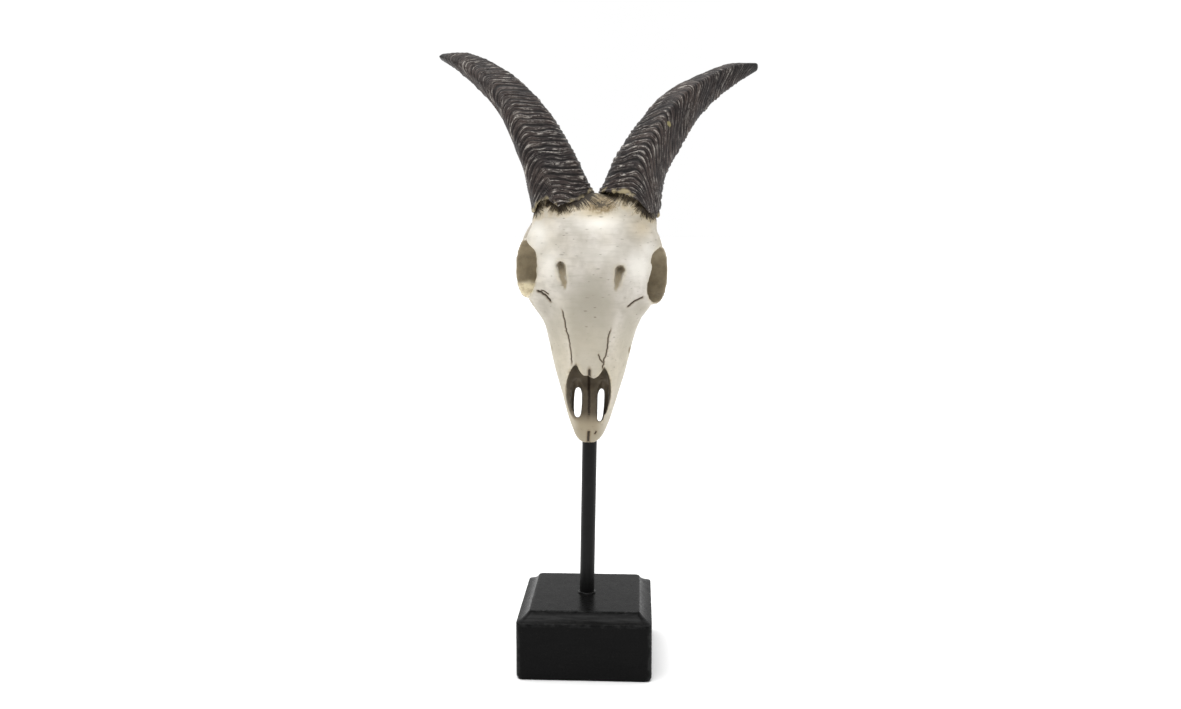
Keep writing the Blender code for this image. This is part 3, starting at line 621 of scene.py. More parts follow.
def horn_surface(side, reach, angles):
    """Points on a smooth horn, in the skull's axes and in millimetres.

    reach and angles are arrays of one shape: the distance up the horn, which may be below
    its foot, and the angle round it from straight ahead towards the outside.
    """
    even, rows, outward, front, heading = horn_path(side)
    inside = np.clip(reach, 0.0, even[-1])

    def at(values):
        """Rows of values at the distance up the horn of each point."""
        return np.stack([np.interp(inside, even, values[:, n]) for n in range(values.shape[1])], axis=-1)

    found = at(rows)
    keel = np.radians(found[..., 4])
    axes = at(outward), at(front), at(heading)
    middle = found[..., :3] + axes[2] * (reach - inside)[..., None]

    def section(angle):
        """Place on the cross-section of the horn, with its keel softened."""
        off = np.degrees(np.abs(np.arctan2(np.sin(angle - keel), np.cos(angle - keel))))
        size = np.zeros_like(off)
        for shift in (-6.0, -3.0, 0.0, 3.0, 6.0):
            size += np.interp(np.abs(off + shift), *zip(*HORN_OUTLINE)) / 5
        return np.sin(angle) * size, np.cos(angle) * size

    turns = [section(np.full_like(keel, a))[0] for a in np.linspace(-math.pi, math.pi, 49)]
    left, right = np.min(turns, axis=0), np.max(turns, axis=0)
    x, y = section(angles)
    scale = 2 * found[..., 3] / (right - left)
    across, ahead = (x - (left + right) / 2) * scale, y * scale * HORN_SHARE
    return middle + axes[0] * across[..., None] + axes[1] * ahead[..., None], keel, found[..., 3]


def ring_starts(spacing, length, seed):
    """Where each growth ring begins along the horn, and how high it is.

    The rings are uneven, and closer together near the foot and towards the tip.
    """
    below_foot, past_tip, crowded, closer_at_tip = 16.0, 12.0, 9.0, 0.45
    dice = np.random.default_rng(seed)
    places = [-below_foot]
    while places[-1] < length + past_tip:
        share = max(0.0, places[-1]) / length
        near_foot = 0.75 if places[-1] < crowded else 1.0
        step = spacing * near_foot * (1.0 - closer_at_tip * share) * dice.uniform(0.55, 1.4)
        places.append(places[-1] + step)
    return np.array(places), dice.uniform(0.35, 1.2, len(places))


def ring_relief(side, reach, angles, keel, half, spacing):
    """Height of the growth rings from 0 to 1, of the fine lines on them, and their run."""
    off = np.degrees(angles - keel) + RING_SHIFTS[side]
    turns, *levels = zip(*RING_DROPS)

    def softened(level):
        shifts = (-12, -6, 0, 6, 12)
        return sum(np.interp((off + shift + 180) % 360 - 180, turns, level) for shift in shifts) / len(shifts)

    low, high = map(softened, levels)
    drop = half * (low + (high - low) * ramp(reach, 8.0, 46.0))
    round_horn = np.stack([np.cos(angles) * half, np.sin(angles) * half, reach], axis=-1)
    slanted = round_horn.copy()
    slanted[:, 2] += drop
    wander = (0.90 * blobs(round_horn, 7.5, side + 4)
              + 0.50 * blobs(slanted * np.array((0.55, 0.55, 1.0)), 2.4, side + 9)
              + 0.16 * blobs(slanted * np.array((0.6, 0.6, 1.3)), 1.1, side + 14))
    along = reach + drop + wander
    places, sizes = ring_starts(spacing, HORN_REACH, 11 + side)
    number = np.clip(np.searchsorted(places, along) - 1, 0, len(places) - 2)
    t = (along - places[number]) / (places[number + 1] - places[number])
    top = 0.72  # share of the way across a ring where it is highest
    crest = np.where(t < top, ramp(t, 0.0, top) ** 1.3, 1.0 - ramp(t, top, 1.0))
    size = sizes[number] + (sizes[number + 1] - sizes[number]) * ramp(t, 0.0, 1.0)
    plates = blobs(slanted * np.array((0.55, 0.55, 1.5)), 2.9, side + 21)
    fine = blobs(slanted * np.array((0.36, 0.36, 2.4)), 1.0, side + 30)
    return crest * size * (0.82 + 0.60 * plates), fine, along


def rim_height(side, angles, raggedness=1.0):
    """Height of the horn's ragged lower edge over the foot of the solid, in millimetres."""
    turned = np.degrees(np.arctan2(np.sin(angles), np.cos(angles)))
    level = np.interp(turned, *zip(*RIM_EDGES[side]))
    round_edge = np.stack([np.cos(angles) * 12, np.sin(angles) * 12], axis=-1)
    ragged = 0.55 * blobs(round_edge, 2.2, side + 40) + 0.3 * blobs(round_edge, 0.9, side + 44)
    return level + raggedness * ragged


def rim_line(side, count=240):
    """Points along the lower edge of a horn, in the skull's axes and in millimetres."""
    angles = np.linspace(-math.pi, math.pi, count, endpoint=False)
    return horn_surface(side, rim_height(side, angles, 0.0), angles)[0]


def wrap_horn(side, angles, up_share):
    """A smooth horn's points and its directions out, with the measures that the rings need.

    angles and up_share give each point's angle round the horn and its share of the way up.
    """
    length = horn_path(side)[0][-1]
    folded = np.clip(1.0 - up_share / HORN_LIP, 0.0, 1.0)
    climb = np.clip((up_share - HORN_LIP) / (1.0 - HORN_LIP), 0.0, 1.0)
    edge = rim_height(side, angles)
    reach = edge + (length - edge) * climb
    smooth, keel, half = horn_surface(side, reach, angles)
    around = horn_surface(side, reach, angles + 0.01)[0] - horn_surface(side, reach, angles - 0.01)[0]
    upward = horn_surface(side, reach + 0.3, angles)[0] - horn_surface(side, reach - 0.3, angles)[0]
    outside = np.cross(around, upward)
    outside /= np.maximum(np.linalg.norm(outside, axis=1, keepdims=True), 1e-9)
    across = smooth - horn_surface(side, reach, angles + math.pi)[0]
    outside *= np.sign(np.sum(outside * across, axis=1, keepdims=True))
    return smooth, outside, smooth - across / 2, keel, half, reach, reach - edge, folded, climb


def grow_horn(side, look):
    """One horn: a grid wrapped round its route, raised into rings, closed at both ends."""
    bpy.ops.object.select_all(action="DESELECT")
    bpy.ops.mesh.primitive_grid_add(x_subdivisions=HORN_COLUMNS, y_subdivisions=HORN_ROWS, size=2.0)
    piece = bpy.context.active_object
    mesh = piece.data
    piece.name = mesh.name = {LEFT: "horn_skin_left", RIGHT: "horn_skin_right"}[side]
    round_share, up_share, _ = (points_of(mesh).T + 1) / 2
    angles = math.pi * (1.0 - 2.0 * round_share) * side
    smooth, outside, middle, keel, half, reach, over_edge, folded, climb = wrap_horn(side, angles, up_share)
    path = horn_path(side)
    share = reach / path[0][-1]

    # raise the rings and flare the lower edge
    rings, lines, along = ring_relief(side, reach, angles, keel, half, look.ring_spacing / MM)
    fade = ramp(share, 0.99, 0.86) * (1.0 - 0.55 * np.clip(share, 0.0, 1.0))
    flare = 0.45 * ramp(over_edge, 2.6, 0.0)
    height = look.ring_height / MM * (rings - 0.52) * fade + 0.17 * lines * fade + flare

    # fold the lip in under the lower edge, and close the tip
    inward = 0.9 * np.sin(folded * math.pi / 2)
    raised = 1.2 * (1.0 - np.cos(folded * math.pi / 2)) - 0.25 * np.sin(folded * math.pi)
    skin = smooth + outside * (height - inward)[:, None] + path[4][0] * raised[:, None]
    closing = 0.985  # share of the way up where the skin starts to close over the tip
    tip = np.clip((climb - closing) / (1.0 - closing), 0.0, 1.0)
    skin += (middle + path[4][-1] * 0.6 - skin) * (1.0 - np.sqrt(1.0 - tip ** 2))[:, None]
    move_points(mesh, from_skull(skin))

    chip_reach, chip_angle, chip_half = CHIP_PLACE
    from_chip = np.hypot(reach - chip_reach, (angles - chip_angle) * half * 0.7) / chip_half
    past_keel = (np.degrees(angles - keel) + 180.0) % 360.0 - 180.0
    write_masks(
        mesh,
        ridge=np.clip(rings * np.sqrt(fade), 0.0, 1.0), along=along, around=angles * half,
        rim=ramp(over_edge, 3.4, 0.0) * np.interp(np.degrees(angles), *zip(*RIM_PAINT[side])),
        chip=np.exp(-from_chip ** 2) * (side == RIGHT), reach=np.clip(share, 0.0, 1.0),
        outer=ramp(past_keel, 2.0, 30.0) * ramp(past_keel, 175.0, 120.0),
    )
    with edit_mode(piece):
        bpy.ops.mesh.remove_doubles(threshold=0.004 * MM)
        bpy.ops.mesh.select_all(action="DESELECT")
        bpy.ops.mesh.select_mode(type="EDGE")
        bpy.ops.mesh.select_non_manifold()
        bpy.ops.mesh.edge_face_add()
        bpy.ops.mesh.select_all(action="SELECT")
        bpy.ops.mesh.normals_make_consistent(inside=False)
    bpy.ops.object.shade_smooth()
    return piece


def horn_paint(look):
    paint = Paint("painted_horn", 0.2, broad=110.0, fine=700.0, grain=2200.0)
    ridge, rim, reach, along, around = map(paint.mask, ("ridge", "rim", "reach", "along", "around"))
    flakes = paint.noise(paint.place, 620.0, 4.0, 0.7)
    grooves = paint.vector(paint.times(around, 0.30), paint.times(along, 1.9), paint.times(reach, 3.0))
    line = paint.noise(grooves, 1.0, 3.0, 0.6)

    paint.colour = paint.mix(paint.times(paint.tone["Tone"], 0.8), look.dark, look.brown)
    # light paint on the crests and fine lines: partly dry-brushed paint, partly painted highlight, less on
    # the outer side
    paint.coat(paint.times(paint.step(line, 0.40, 0.66), paint.step(flakes, 0.32, 0.66)), look.crest, 0.16)
    spared = paint.scaled(paint.mask("outer"), -0.55, 1.0)
    brush = paint.times(paint.step(line, 0.535, 0.63), paint.step(ridge, 0.05, 0.50))
    brush = paint.times(paint.times(brush, paint.step(flakes, 0.36, 0.54)), spared)
    paint.coat(brush, look.crest, paint.scaled(paint.step(reach, 0.45, 0.0), 0.22, 0.60))
    crest = paint.times(paint.step(ridge, 0.60, 0.85), paint.step(flakes, 0.40, 0.56))
    paint.coat(crest, look.crest, paint.times(spared, 0.42))
    # painted shade in the furrows between the rings and along the fine lines
    furrow_shade = paint.maths("MAXIMUM", paint.step(ridge, 0.18, 0.02), paint.step(line, 0.42, 0.34))
    paint.coat(furrow_shade, look.furrow_shade, 0.85)
    patch = paint.step(paint.noise(paint.place, 260.0, 4.0), 0.42, 0.58)
    paint.coat(paint.step(rim, 0.22, 0.62), look.edge, paint.times(patch, 0.85))
    chip = paint.times(paint.mask("chip"), paint.scaled(flakes, 1.2, 0.35))
    paint.coat(paint.step(chip, 0.55, 0.80, 0.8), look.chip)
    tip = paint.step(reach, 0.93, 0.975)
    paint.coat(tip, look.tip)

    paint.bump(paint.times(line, paint.maths("SUBTRACT", 1.0, tip)), 0.5 * MM, 0.55)
    paint.bump(flakes, 0.08 * MM, 0.6)
    return paint.finish(paint.scaled(tip, -0.15, 0.52), 0.05 * MM, 0.6)


# Skull


def crack_points(crack, seed):
    """Points along a crack, wandering a little to both sides."""
    _, points, _, _, jagged = crack
    line = smooth_curve(points, 14)
    step = np.gradient(line, axis=0)
    across = np.stack([-step[:, 1], step[:, 0]], axis=1)
    across /= np.linalg.norm(across, axis=1, keepdims=True)
    shift = blobs(line, 0.9, seed) + 0.5 * blobs(line, 0.45, seed + 50)
    return line + across * (shift * jagged)[:, None]


def crack_depths(points, normals):
    """How deep the cracks cut at each point of the skull, in millimetres, and their paint."""
    x, y, z = points.T
    shown = {
        "front": (np.stack([x, z], axis=1), (normals[:, 1] < -0.1) & (y < 19.0)),
        "left": (np.stack([y, z], axis=1), (normals[:, 0] < -0.2) & (x < 0)),
        "right": (np.stack([y, z], axis=1), (normals[:, 0] > 0.2) & (x > 0)),
        "back": (np.stack([x, z], axis=1), (normals[:, 1] > 0.2) & (y > 14.0)),
    }
    cut, paint = np.zeros(len(points)), np.zeros(len(points))
    for number, crack in enumerate(CRACKS):
        view, _, width, depth, _ = crack
        flat, seen = shown[view]
        line = crack_points(crack, number)
        low, high = line.min(0) - 1.5, line.max(0) + 1.5
        close = np.nonzero(seen & np.all((flat > low) & (flat < high), axis=1))[0]
        if not len(close):
            continue
        gaps = np.linalg.norm(flat[close, None] - line[None], axis=2)
        which = gaps.argmin(axis=1)
        gap = gaps[np.arange(len(close)), which]
        along = which / (len(line) - 1)
        taper = np.minimum(1.0, np.minimum(along / 0.12 + 0.25, (1.0 - along) / 0.12 + 0.45))
        cut[close] = np.maximum(cut[close], depth * taper * np.exp(-(gap / width) ** 2))
        paint[close] = np.maximum(paint[close], taper * np.exp(-(gap / (width * 2.0)) ** 2))
    return cut, paint


def tongue_end(x):
    """How low the ends of the nasal bones reach at x."""
    return np.min([low + bend * (x - middle) ** 2 for middle, low, bend in NASAL_TONGUES], axis=0)


def nose_mask(points, normals):
    """1 in the nose opening, fading to 0 on the tip of the muzzle and on the palate."""
    x, y, z = points.T
    egg = np.hypot((x - NOSE_CENTRE[0]) / NOSE_HALF_SIZES[0], (z - NOSE_CENTRE[1]) / NOSE_HALF_SIZES[1])
    opening = ramp((egg - 1.0) * 9.0, 0.25, -0.35) * ramp(z - tongue_end(x), 0.25, -0.25)
    lower = ramp(z, 7.2, 13.0)
    behind = ((z > 25.0) & (z < 40.0) & (np.abs(x) < 8.0) & (y > 3.2) & (y < 14.5)).astype(float)
    flank = (np.abs(x) > 4.8) & (np.sign(x) * normals[:, 0] > 0.2)
    slots = ((z > 9.0) & (z < 25.0) & (np.abs(x) < 8.0) & (y > 9.0) & ~flank).astype(float)
    inside = np.clip(opening * lower * (y < 14.0) + behind + slots * ramp(y, 19.0, 13.0), 0.0, 1.0)
    return inside * ramp(normals[:, 1], 0.6, 0.1)


def socket_inward(side):
    return np.array((-side * math.cos(SOCKET_TURN[side]), math.sin(SOCKET_TURN[side]), 0.0))


def socket_places(points, side):
    """Distance behind, above and into a socket from the middle of its opening."""
    turn = SOCKET_TURN[side]
    outer = side * (SOCKET_OUTER_EDGE - SOCKET_HALF_DEPTH * math.sin(turn))
    from_middle = points - np.array((outer, SOCKET_DEPTH, SOCKET_HEIGHT[side]))
    back = np.array((side * math.sin(turn), math.cos(turn), 0.0))
    return from_middle @ back, from_middle[:, 2], from_middle @ socket_inward(side)


def socket_mask(points, side):
    """1 inside a socket, with a soft edge at its rim."""
    back, up, inward = socket_places(points, side)
    pinch = 1.0 + SOCKET_PINCH[side] / SOCKET_HALF_DEPTH * np.exp(-((up - 3.0) / 4.6) ** 2)
    back = np.where(back < 0, back * pinch, back)
    grow = np.interp(inward, *zip(*SOCKET_HOLLOW))
    out = np.hypot(back / (SOCKET_HALF_DEPTH + grow), up / (SOCKET_HALF_HEIGHT + grow))
    edge = (out - 1.0) * (SOCKET_HALF_DEPTH + grow)
    return ramp(edge, 1.1, 0.35) * ramp(inward, -0.2, 0.7) * (inward < 18.0)


def socket_corner(points, side):
    """1 in the squared front corner of a socket, past its rounded opening."""
    back, up, inward = socket_places(points, side)
    shift, power, low = SOCKET_CORNERS[side]
    back = back - shift
    square = np.abs(back / SOCKET_HALF_DEPTH) ** power + np.abs(up / (SOCKET_HALF_HEIGHT - 0.9)) ** power
    corner = ramp(square ** (1 / power), 1.03, 0.93) * ramp(up, low, low + 2.5) * ramp(back, 1.0, -1.5)
    return corner * ramp(inward, 4.5, 2.5) * (inward > -3.0)


def brow_groove(points, groove):
    """Depth share, paint and darkest paint of the wedge-shaped groove over one eye."""
    x0, z0, x1, z1 = groove
    start, run = np.array((x0, z0)), np.array((x1 - x0, z1 - z0))
    flat = points[:, (0, 2)] - start
    along = flat @ run / (run @ run)
    length = math.hypot(*run)
    across = (flat[:, 0] * run[1] - flat[:, 1] * run[0]) / length
    inside = np.clip(along, 0.0, 1.0)
    half = 1.25 * (1.0 - inside) ** 0.7 + 0.05
    past = np.abs(along - inside) * length
    gap = np.hypot(across, past) - half + 0.6 * blobs(points, 1.7, 33) + 0.3 * blobs(points, 0.9, 34)
    near = points[:, 1] < 12.0
    paint = ramp(gap, 0.8, -0.3) * near
    pit = np.hypot(flat[:, 0] * 0.6, flat[:, 1] + 0.1 + 0.25 * flat[:, 0] * np.sign(-x0))
    pit += 0.5 * blobs(points, 1.4, 35)
    deep = ramp(gap, 0.7, -0.9) * (1.0 - 0.75 * inside) * near
    return deep, paint, ramp(pit, 2.2, 0.3) * near


def join_horn_cores(piece):
    """Adds the bony core under each horn to the skull, so none of its edges gapes."""
    parts = [piece]
    for side in (LEFT, RIGHT):
        bpy.ops.object.select_all(action="DESELECT")
        bpy.ops.mesh.primitive_cylinder_add(vertices=48, radius=1.0, depth=2.0)
        core = bpy.context.active_object
        flat = points_of(core.data)
        angles = np.arctan2(flat[:, 0], flat[:, 1])
        reach = np.where(flat[:, 2] > 0, 5.5, -4.0)
        skin, _, _ = horn_surface(side, np.clip(reach, 0.0, None), angles)
        far, _, _ = horn_surface(side, np.clip(reach, 0.0, None), angles + math.pi)
        middle = (skin + far) / 2
        shrunk = middle + (skin - middle) * 0.90 + horn_path(side)[4][0] * np.minimum(reach, 0.0)[:, None]
        move_points(core.data, from_skull(shrunk))
        with edit_mode(core):
            bpy.ops.mesh.normals_make_consistent(inside=False)
        parts.append(core)
    pick_only(piece)
    for part in parts:
        part.select_set(True)
    bpy.ops.object.join()


def sharp_points(mesh, angle):
    """Points along the sharp edges of a mesh."""
    faces = np.empty(len(mesh.polygons) * 3, dtype=np.float32)
    mesh.polygons.foreach_get("normal", faces)
    faces = faces.reshape(-1, 3)
    touching = {}
    for face in mesh.polygons:
        for key in face.edge_keys:
            touching.setdefault(key, []).append(face.index)
    where = points_of(mesh)
    limit = math.cos(angle)
    made = []
    for (a, b), pair in touching.items():
        if len(pair) == 2 and faces[pair[0]] @ faces[pair[1]] < limit:
            steps = max(2, int(np.linalg.norm(where[a] - where[b]) / (0.5 * MM)))
            made.extend(where[a] + (where[b] - where[a]) * n / steps for n in range(steps + 1))
    return made


def evened_skull(look):
    """The solid and its horn cores as one even mesh, smoothed away from its sharp edges."""
    piece = merged_copy("skull", "skull_cast")
    lean, rod_hole = math.tan(ROD_LEAN), 1.7 * ROD_RADIUS
    corners = [
        corner for corner in sharp_points(piece.data, math.radians(38))
        if math.hypot(corner[0] - lean * (corner[2] - BASE_HEIGHT), corner[1]) > rod_hole
    ]
    join_horn_cores(piece)
    apply_modifier(piece, "REMESH", mode="VOXEL", voxel_size=look.grid)
    gap, _ = nearest(points_of(piece.data), corners)
    group, levels = piece.vertex_groups.new(name="broad"), 10
    level_of = np.round(levels * ramp(gap, 0.7 * MM, 3.2 * MM))
    for level in range(1, levels + 1):
        group.add(np.nonzero(level_of == level)[0].tolist(), level / levels, "REPLACE")
    apply_modifier(piece, "SMOOTH", factor=0.5, iterations=2)
    apply_modifier(piece, "SMOOTH", factor=0.5, iterations=look.broad_smoothing, vertex_group="broad")
    piece.vertex_groups.clear()
    return piece


def skull_places(mesh):
    """The points and normals of a mesh in the skull's axes."""
    return to_skull(points_of(mesh)), normals_of(mesh) @ np.array(SKULL_AXES)


def rim_places(points):
    """Distance from each point to the horns' lower edges, and how far round them that is."""
    rims = np.concatenate([rim_line(LEFT), rim_line(RIGHT)])
    gap, which = nearest(points, rims)
    spans = np.linalg.norm(np.roll(rims, -1, axis=0) - rims, axis=1)
    spans[[len(rims) // 2 - 1, -1]] = 4.0  # between one horn's edge and the other's
    run = np.concatenate([[0.0], np.cumsum(spans)])
    ahead = rims[(which + 1) % len(rims)] - rims[which - 1]
    past = np.sum((points - rims[which]) * ahead, axis=1) / np.maximum(np.linalg.norm(ahead, axis=1), 1e-6)
    return gap, run[which] + np.clip(past, -1.0, 1.0)


def cast_skull(look):
    """The skull in one piece: its solid evened out, then carved and given its paint masks."""
    piece = evened_skull(look)
    mesh = piece.data
    _, paint = crack_depths(*skull_places(mesh))
    divide_faces(piece, paint > 0.08, 2)

    # carve the lumps, the cracks, the brow grooves, the sockets' corners and the right socket's folds
    points, normals = points_of(mesh), normals_of(mesh)
    local, turned = skull_places(mesh)
    x, y, z = local.T
    depth, crack = crack_depths(local, turned)
    depth -= look.lump_height / MM * (0.6 * blobs(local, 7.0, 3) + 0.4 * blobs(local, 3.1, 5))
    grooves = [brow_groove(local, groove) for groove in BROW_GROOVES]
    depth += look.groove_depth / MM * sum(deep for deep, _, _ in grooves)
    sockets, pressed = {}, np.zeros_like(local)
    for side in (LEFT, RIGHT):
        inside, corner = socket_mask(local, side), socket_corner(local, side)
        pressed += socket_inward(side) * (SOCKET_PRESS * corner * (1.0 - inside))[:, None]
        top = ramp(socket_places(local, side)[1], SOCKET_HALF_HEIGHT - 0.2, SOCKET_HALF_HEIGHT - 0.9)
        sockets[side] = np.maximum(inside, corner) * top
    right_back, right_up, _ = socket_places(local, RIGHT)
    ripple = np.hypot(right_back + 6.5, right_up + 13.5)
    fold = np.sin(ripple * 2 * math.pi / 1.15) * ramp(ripple, 8.2, 4.0) * ramp(ripple, 1.0, 2.2)
    depth -= 0.16 * fold * sockets[RIGHT]
    move_points(mesh, points - normals * (depth * MM)[:, None] + pressed @ np.array(SKULL_AXES).T * MM)

    # masks for the paint
    front = y < 22.0
    cream = ramp(socket_places(local, LEFT)[1] + 0.9 * blobs(local, 2.4, 60), -5.6, -7.6) * sockets[LEFT]
    wash = np.maximum(sockets[LEFT] * (1.0 - 0.85 * cream), sockets[RIGHT])
    for side in (LEFT, RIGHT):
        from_cheek_hole = np.linalg.norm(local - np.array((side * CHEEK_HOLE[0], *CHEEK_HOLE[1:])), axis=1)
        wash = np.maximum(wash, ramp(from_cheek_hole, 2.4, 1.2))
    nose = nose_mask(local, turned)
    muzzle = ramp(np.abs(x + 0.2), 8.0, 2.5) * ramp(z, 14.0, 8.5) * (1.0 - 0.35 * ramp(z, 8.5, 0.0))
    teeth = (np.abs(np.abs(x) - 12.0) < 3.4) & (z > 28.0) & (z < 60.5) & (y > 21.4 + (z - 28.0) * 0.385 + 0.4)
    past_bridge = np.abs(x + 0.8) - np.interp(z, *zip(*BRIDGE_WIDTHS))
    bridge = ramp(past_bridge / (0.5 + 3.5 * ramp(z, 40.0, 60.0)), 0.9, -1.3)
    rim_gap, rim_run = rim_places(local)
    middle = np.exp(-((x - 1.6) / 6.5) ** 2 - ((z - 93.0) / 3.6) ** 2) * (y < 20.0)
    write_masks(
        mesh,
        wash=wash, nose=nose, halo=halo_of(piece, np.maximum(nose, wash)),
        muzzle=muzzle * (y < 14.0), cream=cream,
        # the cracks, plus the painted shadow at the ends of the nose's slots
        crack=np.maximum(crack, np.clip(glows(x, z, NOSE_SLOT_SHADOWS), 0.0, 0.9) * nose),
        groove=np.max([painted for _, painted, _ in grooves], axis=0),
        groove_pit=np.max([pit for _, _, pit in grooves], axis=0),
        rim_run=rim_run,
        rim_gap=np.clip(rim_gap - 3.4 * middle, 0.0, 30.0),
        rim_near=np.clip(rim_gap - 0.8 * middle, 0.0, 30.0),
        notch=np.exp(-((x - 2.4) / 6.2) ** 2 - ((z - 94.4) / 3.3) ** 2) * (y < 20.0),
        under=ramp(turned[:, 1], 0.25, 0.9) * ramp(y, 12.0, 20.0),
        # painted shade where the bone faces sideways
        flank=ramp(np.abs(turned[:, 0]), 0.62, 0.97) * (1.0 - wash),
        teeth=teeth, height=z,
        bridge=bridge * ramp(z, 72.0, 50.0) * ramp(z, 24.0, 27.0) * (y < 8.0),
        # painted highlights and painted shade on the front of the face
        pale=glows(x, z, PAINTED_HIGHLIGHT_SPOTS) * front, dull=glows(x, z, PAINTED_SHADE_SPOTS) * front,
        rusty=glows(x, z, RUSTY_SPOTS) * front, cavity=cavity_of(piece),
    )
    pick_only(piece)
    bpy.ops.object.shade_smooth()
    return piece


def halo_of(piece, mask):
    """The mask spread softly past its edge, through neighbouring points."""
    ends = np.empty(len(piece.data.edges) * 2, dtype=np.int32)
    piece.data.edges.foreach_get("vertices", ends)
    a, b = ends.reshape(-1, 2).T
    spread = mask.copy()
    for _ in range(3):
        grown = spread.copy()
        np.maximum.at(grown, a, spread[b] * 0.72)
        np.maximum.at(grown, b, spread[a] * 0.72)
        spread = grown
    return spread


def glows(x, z, spots):
    """Soft spots on the face: x, z, half width, half height and strength of each."""
    return np.max([
        strength * np.exp(-((x - across) / wide) ** 2 - ((z - up) / tall) ** 2)
        for across, up, wide, tall, strength in spots
    ], axis=0)


def cavity_of(piece):
    """How hollow the surface is at each point, from -1 on edges to 1 in furrows."""
    ghost_mesh = piece.data.copy()
    ghost = bpy.data.objects.new("ghost", ghost_mesh)
    bpy.context.scene.collection.objects.link(ghost)
    apply_modifier(ghost, "SMOOTH", factor=0.5, iterations=28)
    moved = points_of(ghost.data) - points_of(piece.data)
    hollow = np.sum(moved * normals_of(piece.data), axis=1) / (0.32 * MM)
    bpy.data.objects.remove(ghost)
    return np.clip(hollow, -1.0, 1.0)


def painted_hairs(paint, rim_gap):
    """Strokes that run out from under the horns: noise drawn out along the distance to them."""
    run = paint.mask("rim_run")
    flow = paint.vector(paint.times(run, 4.6), paint.times(rim_gap, 0.22), 0.0)
    strand = paint.noise(flow, 1.0, 1.5, 0.6)
    slow = paint.vector(paint.times(run, 0.42), 0.0, 3.0)
    length = paint.scaled(paint.noise(slow, 1.0, 2.0), 5.6, 2.0)
    share = paint.maths("DIVIDE", rim_gap, length)
    over = paint.maths("SUBTRACT", strand, paint.scaled(share, 0.30, 0.33))
    return paint.times(paint.step(over, 0.0, 0.06), paint.step(share, 1.15, 0.85))


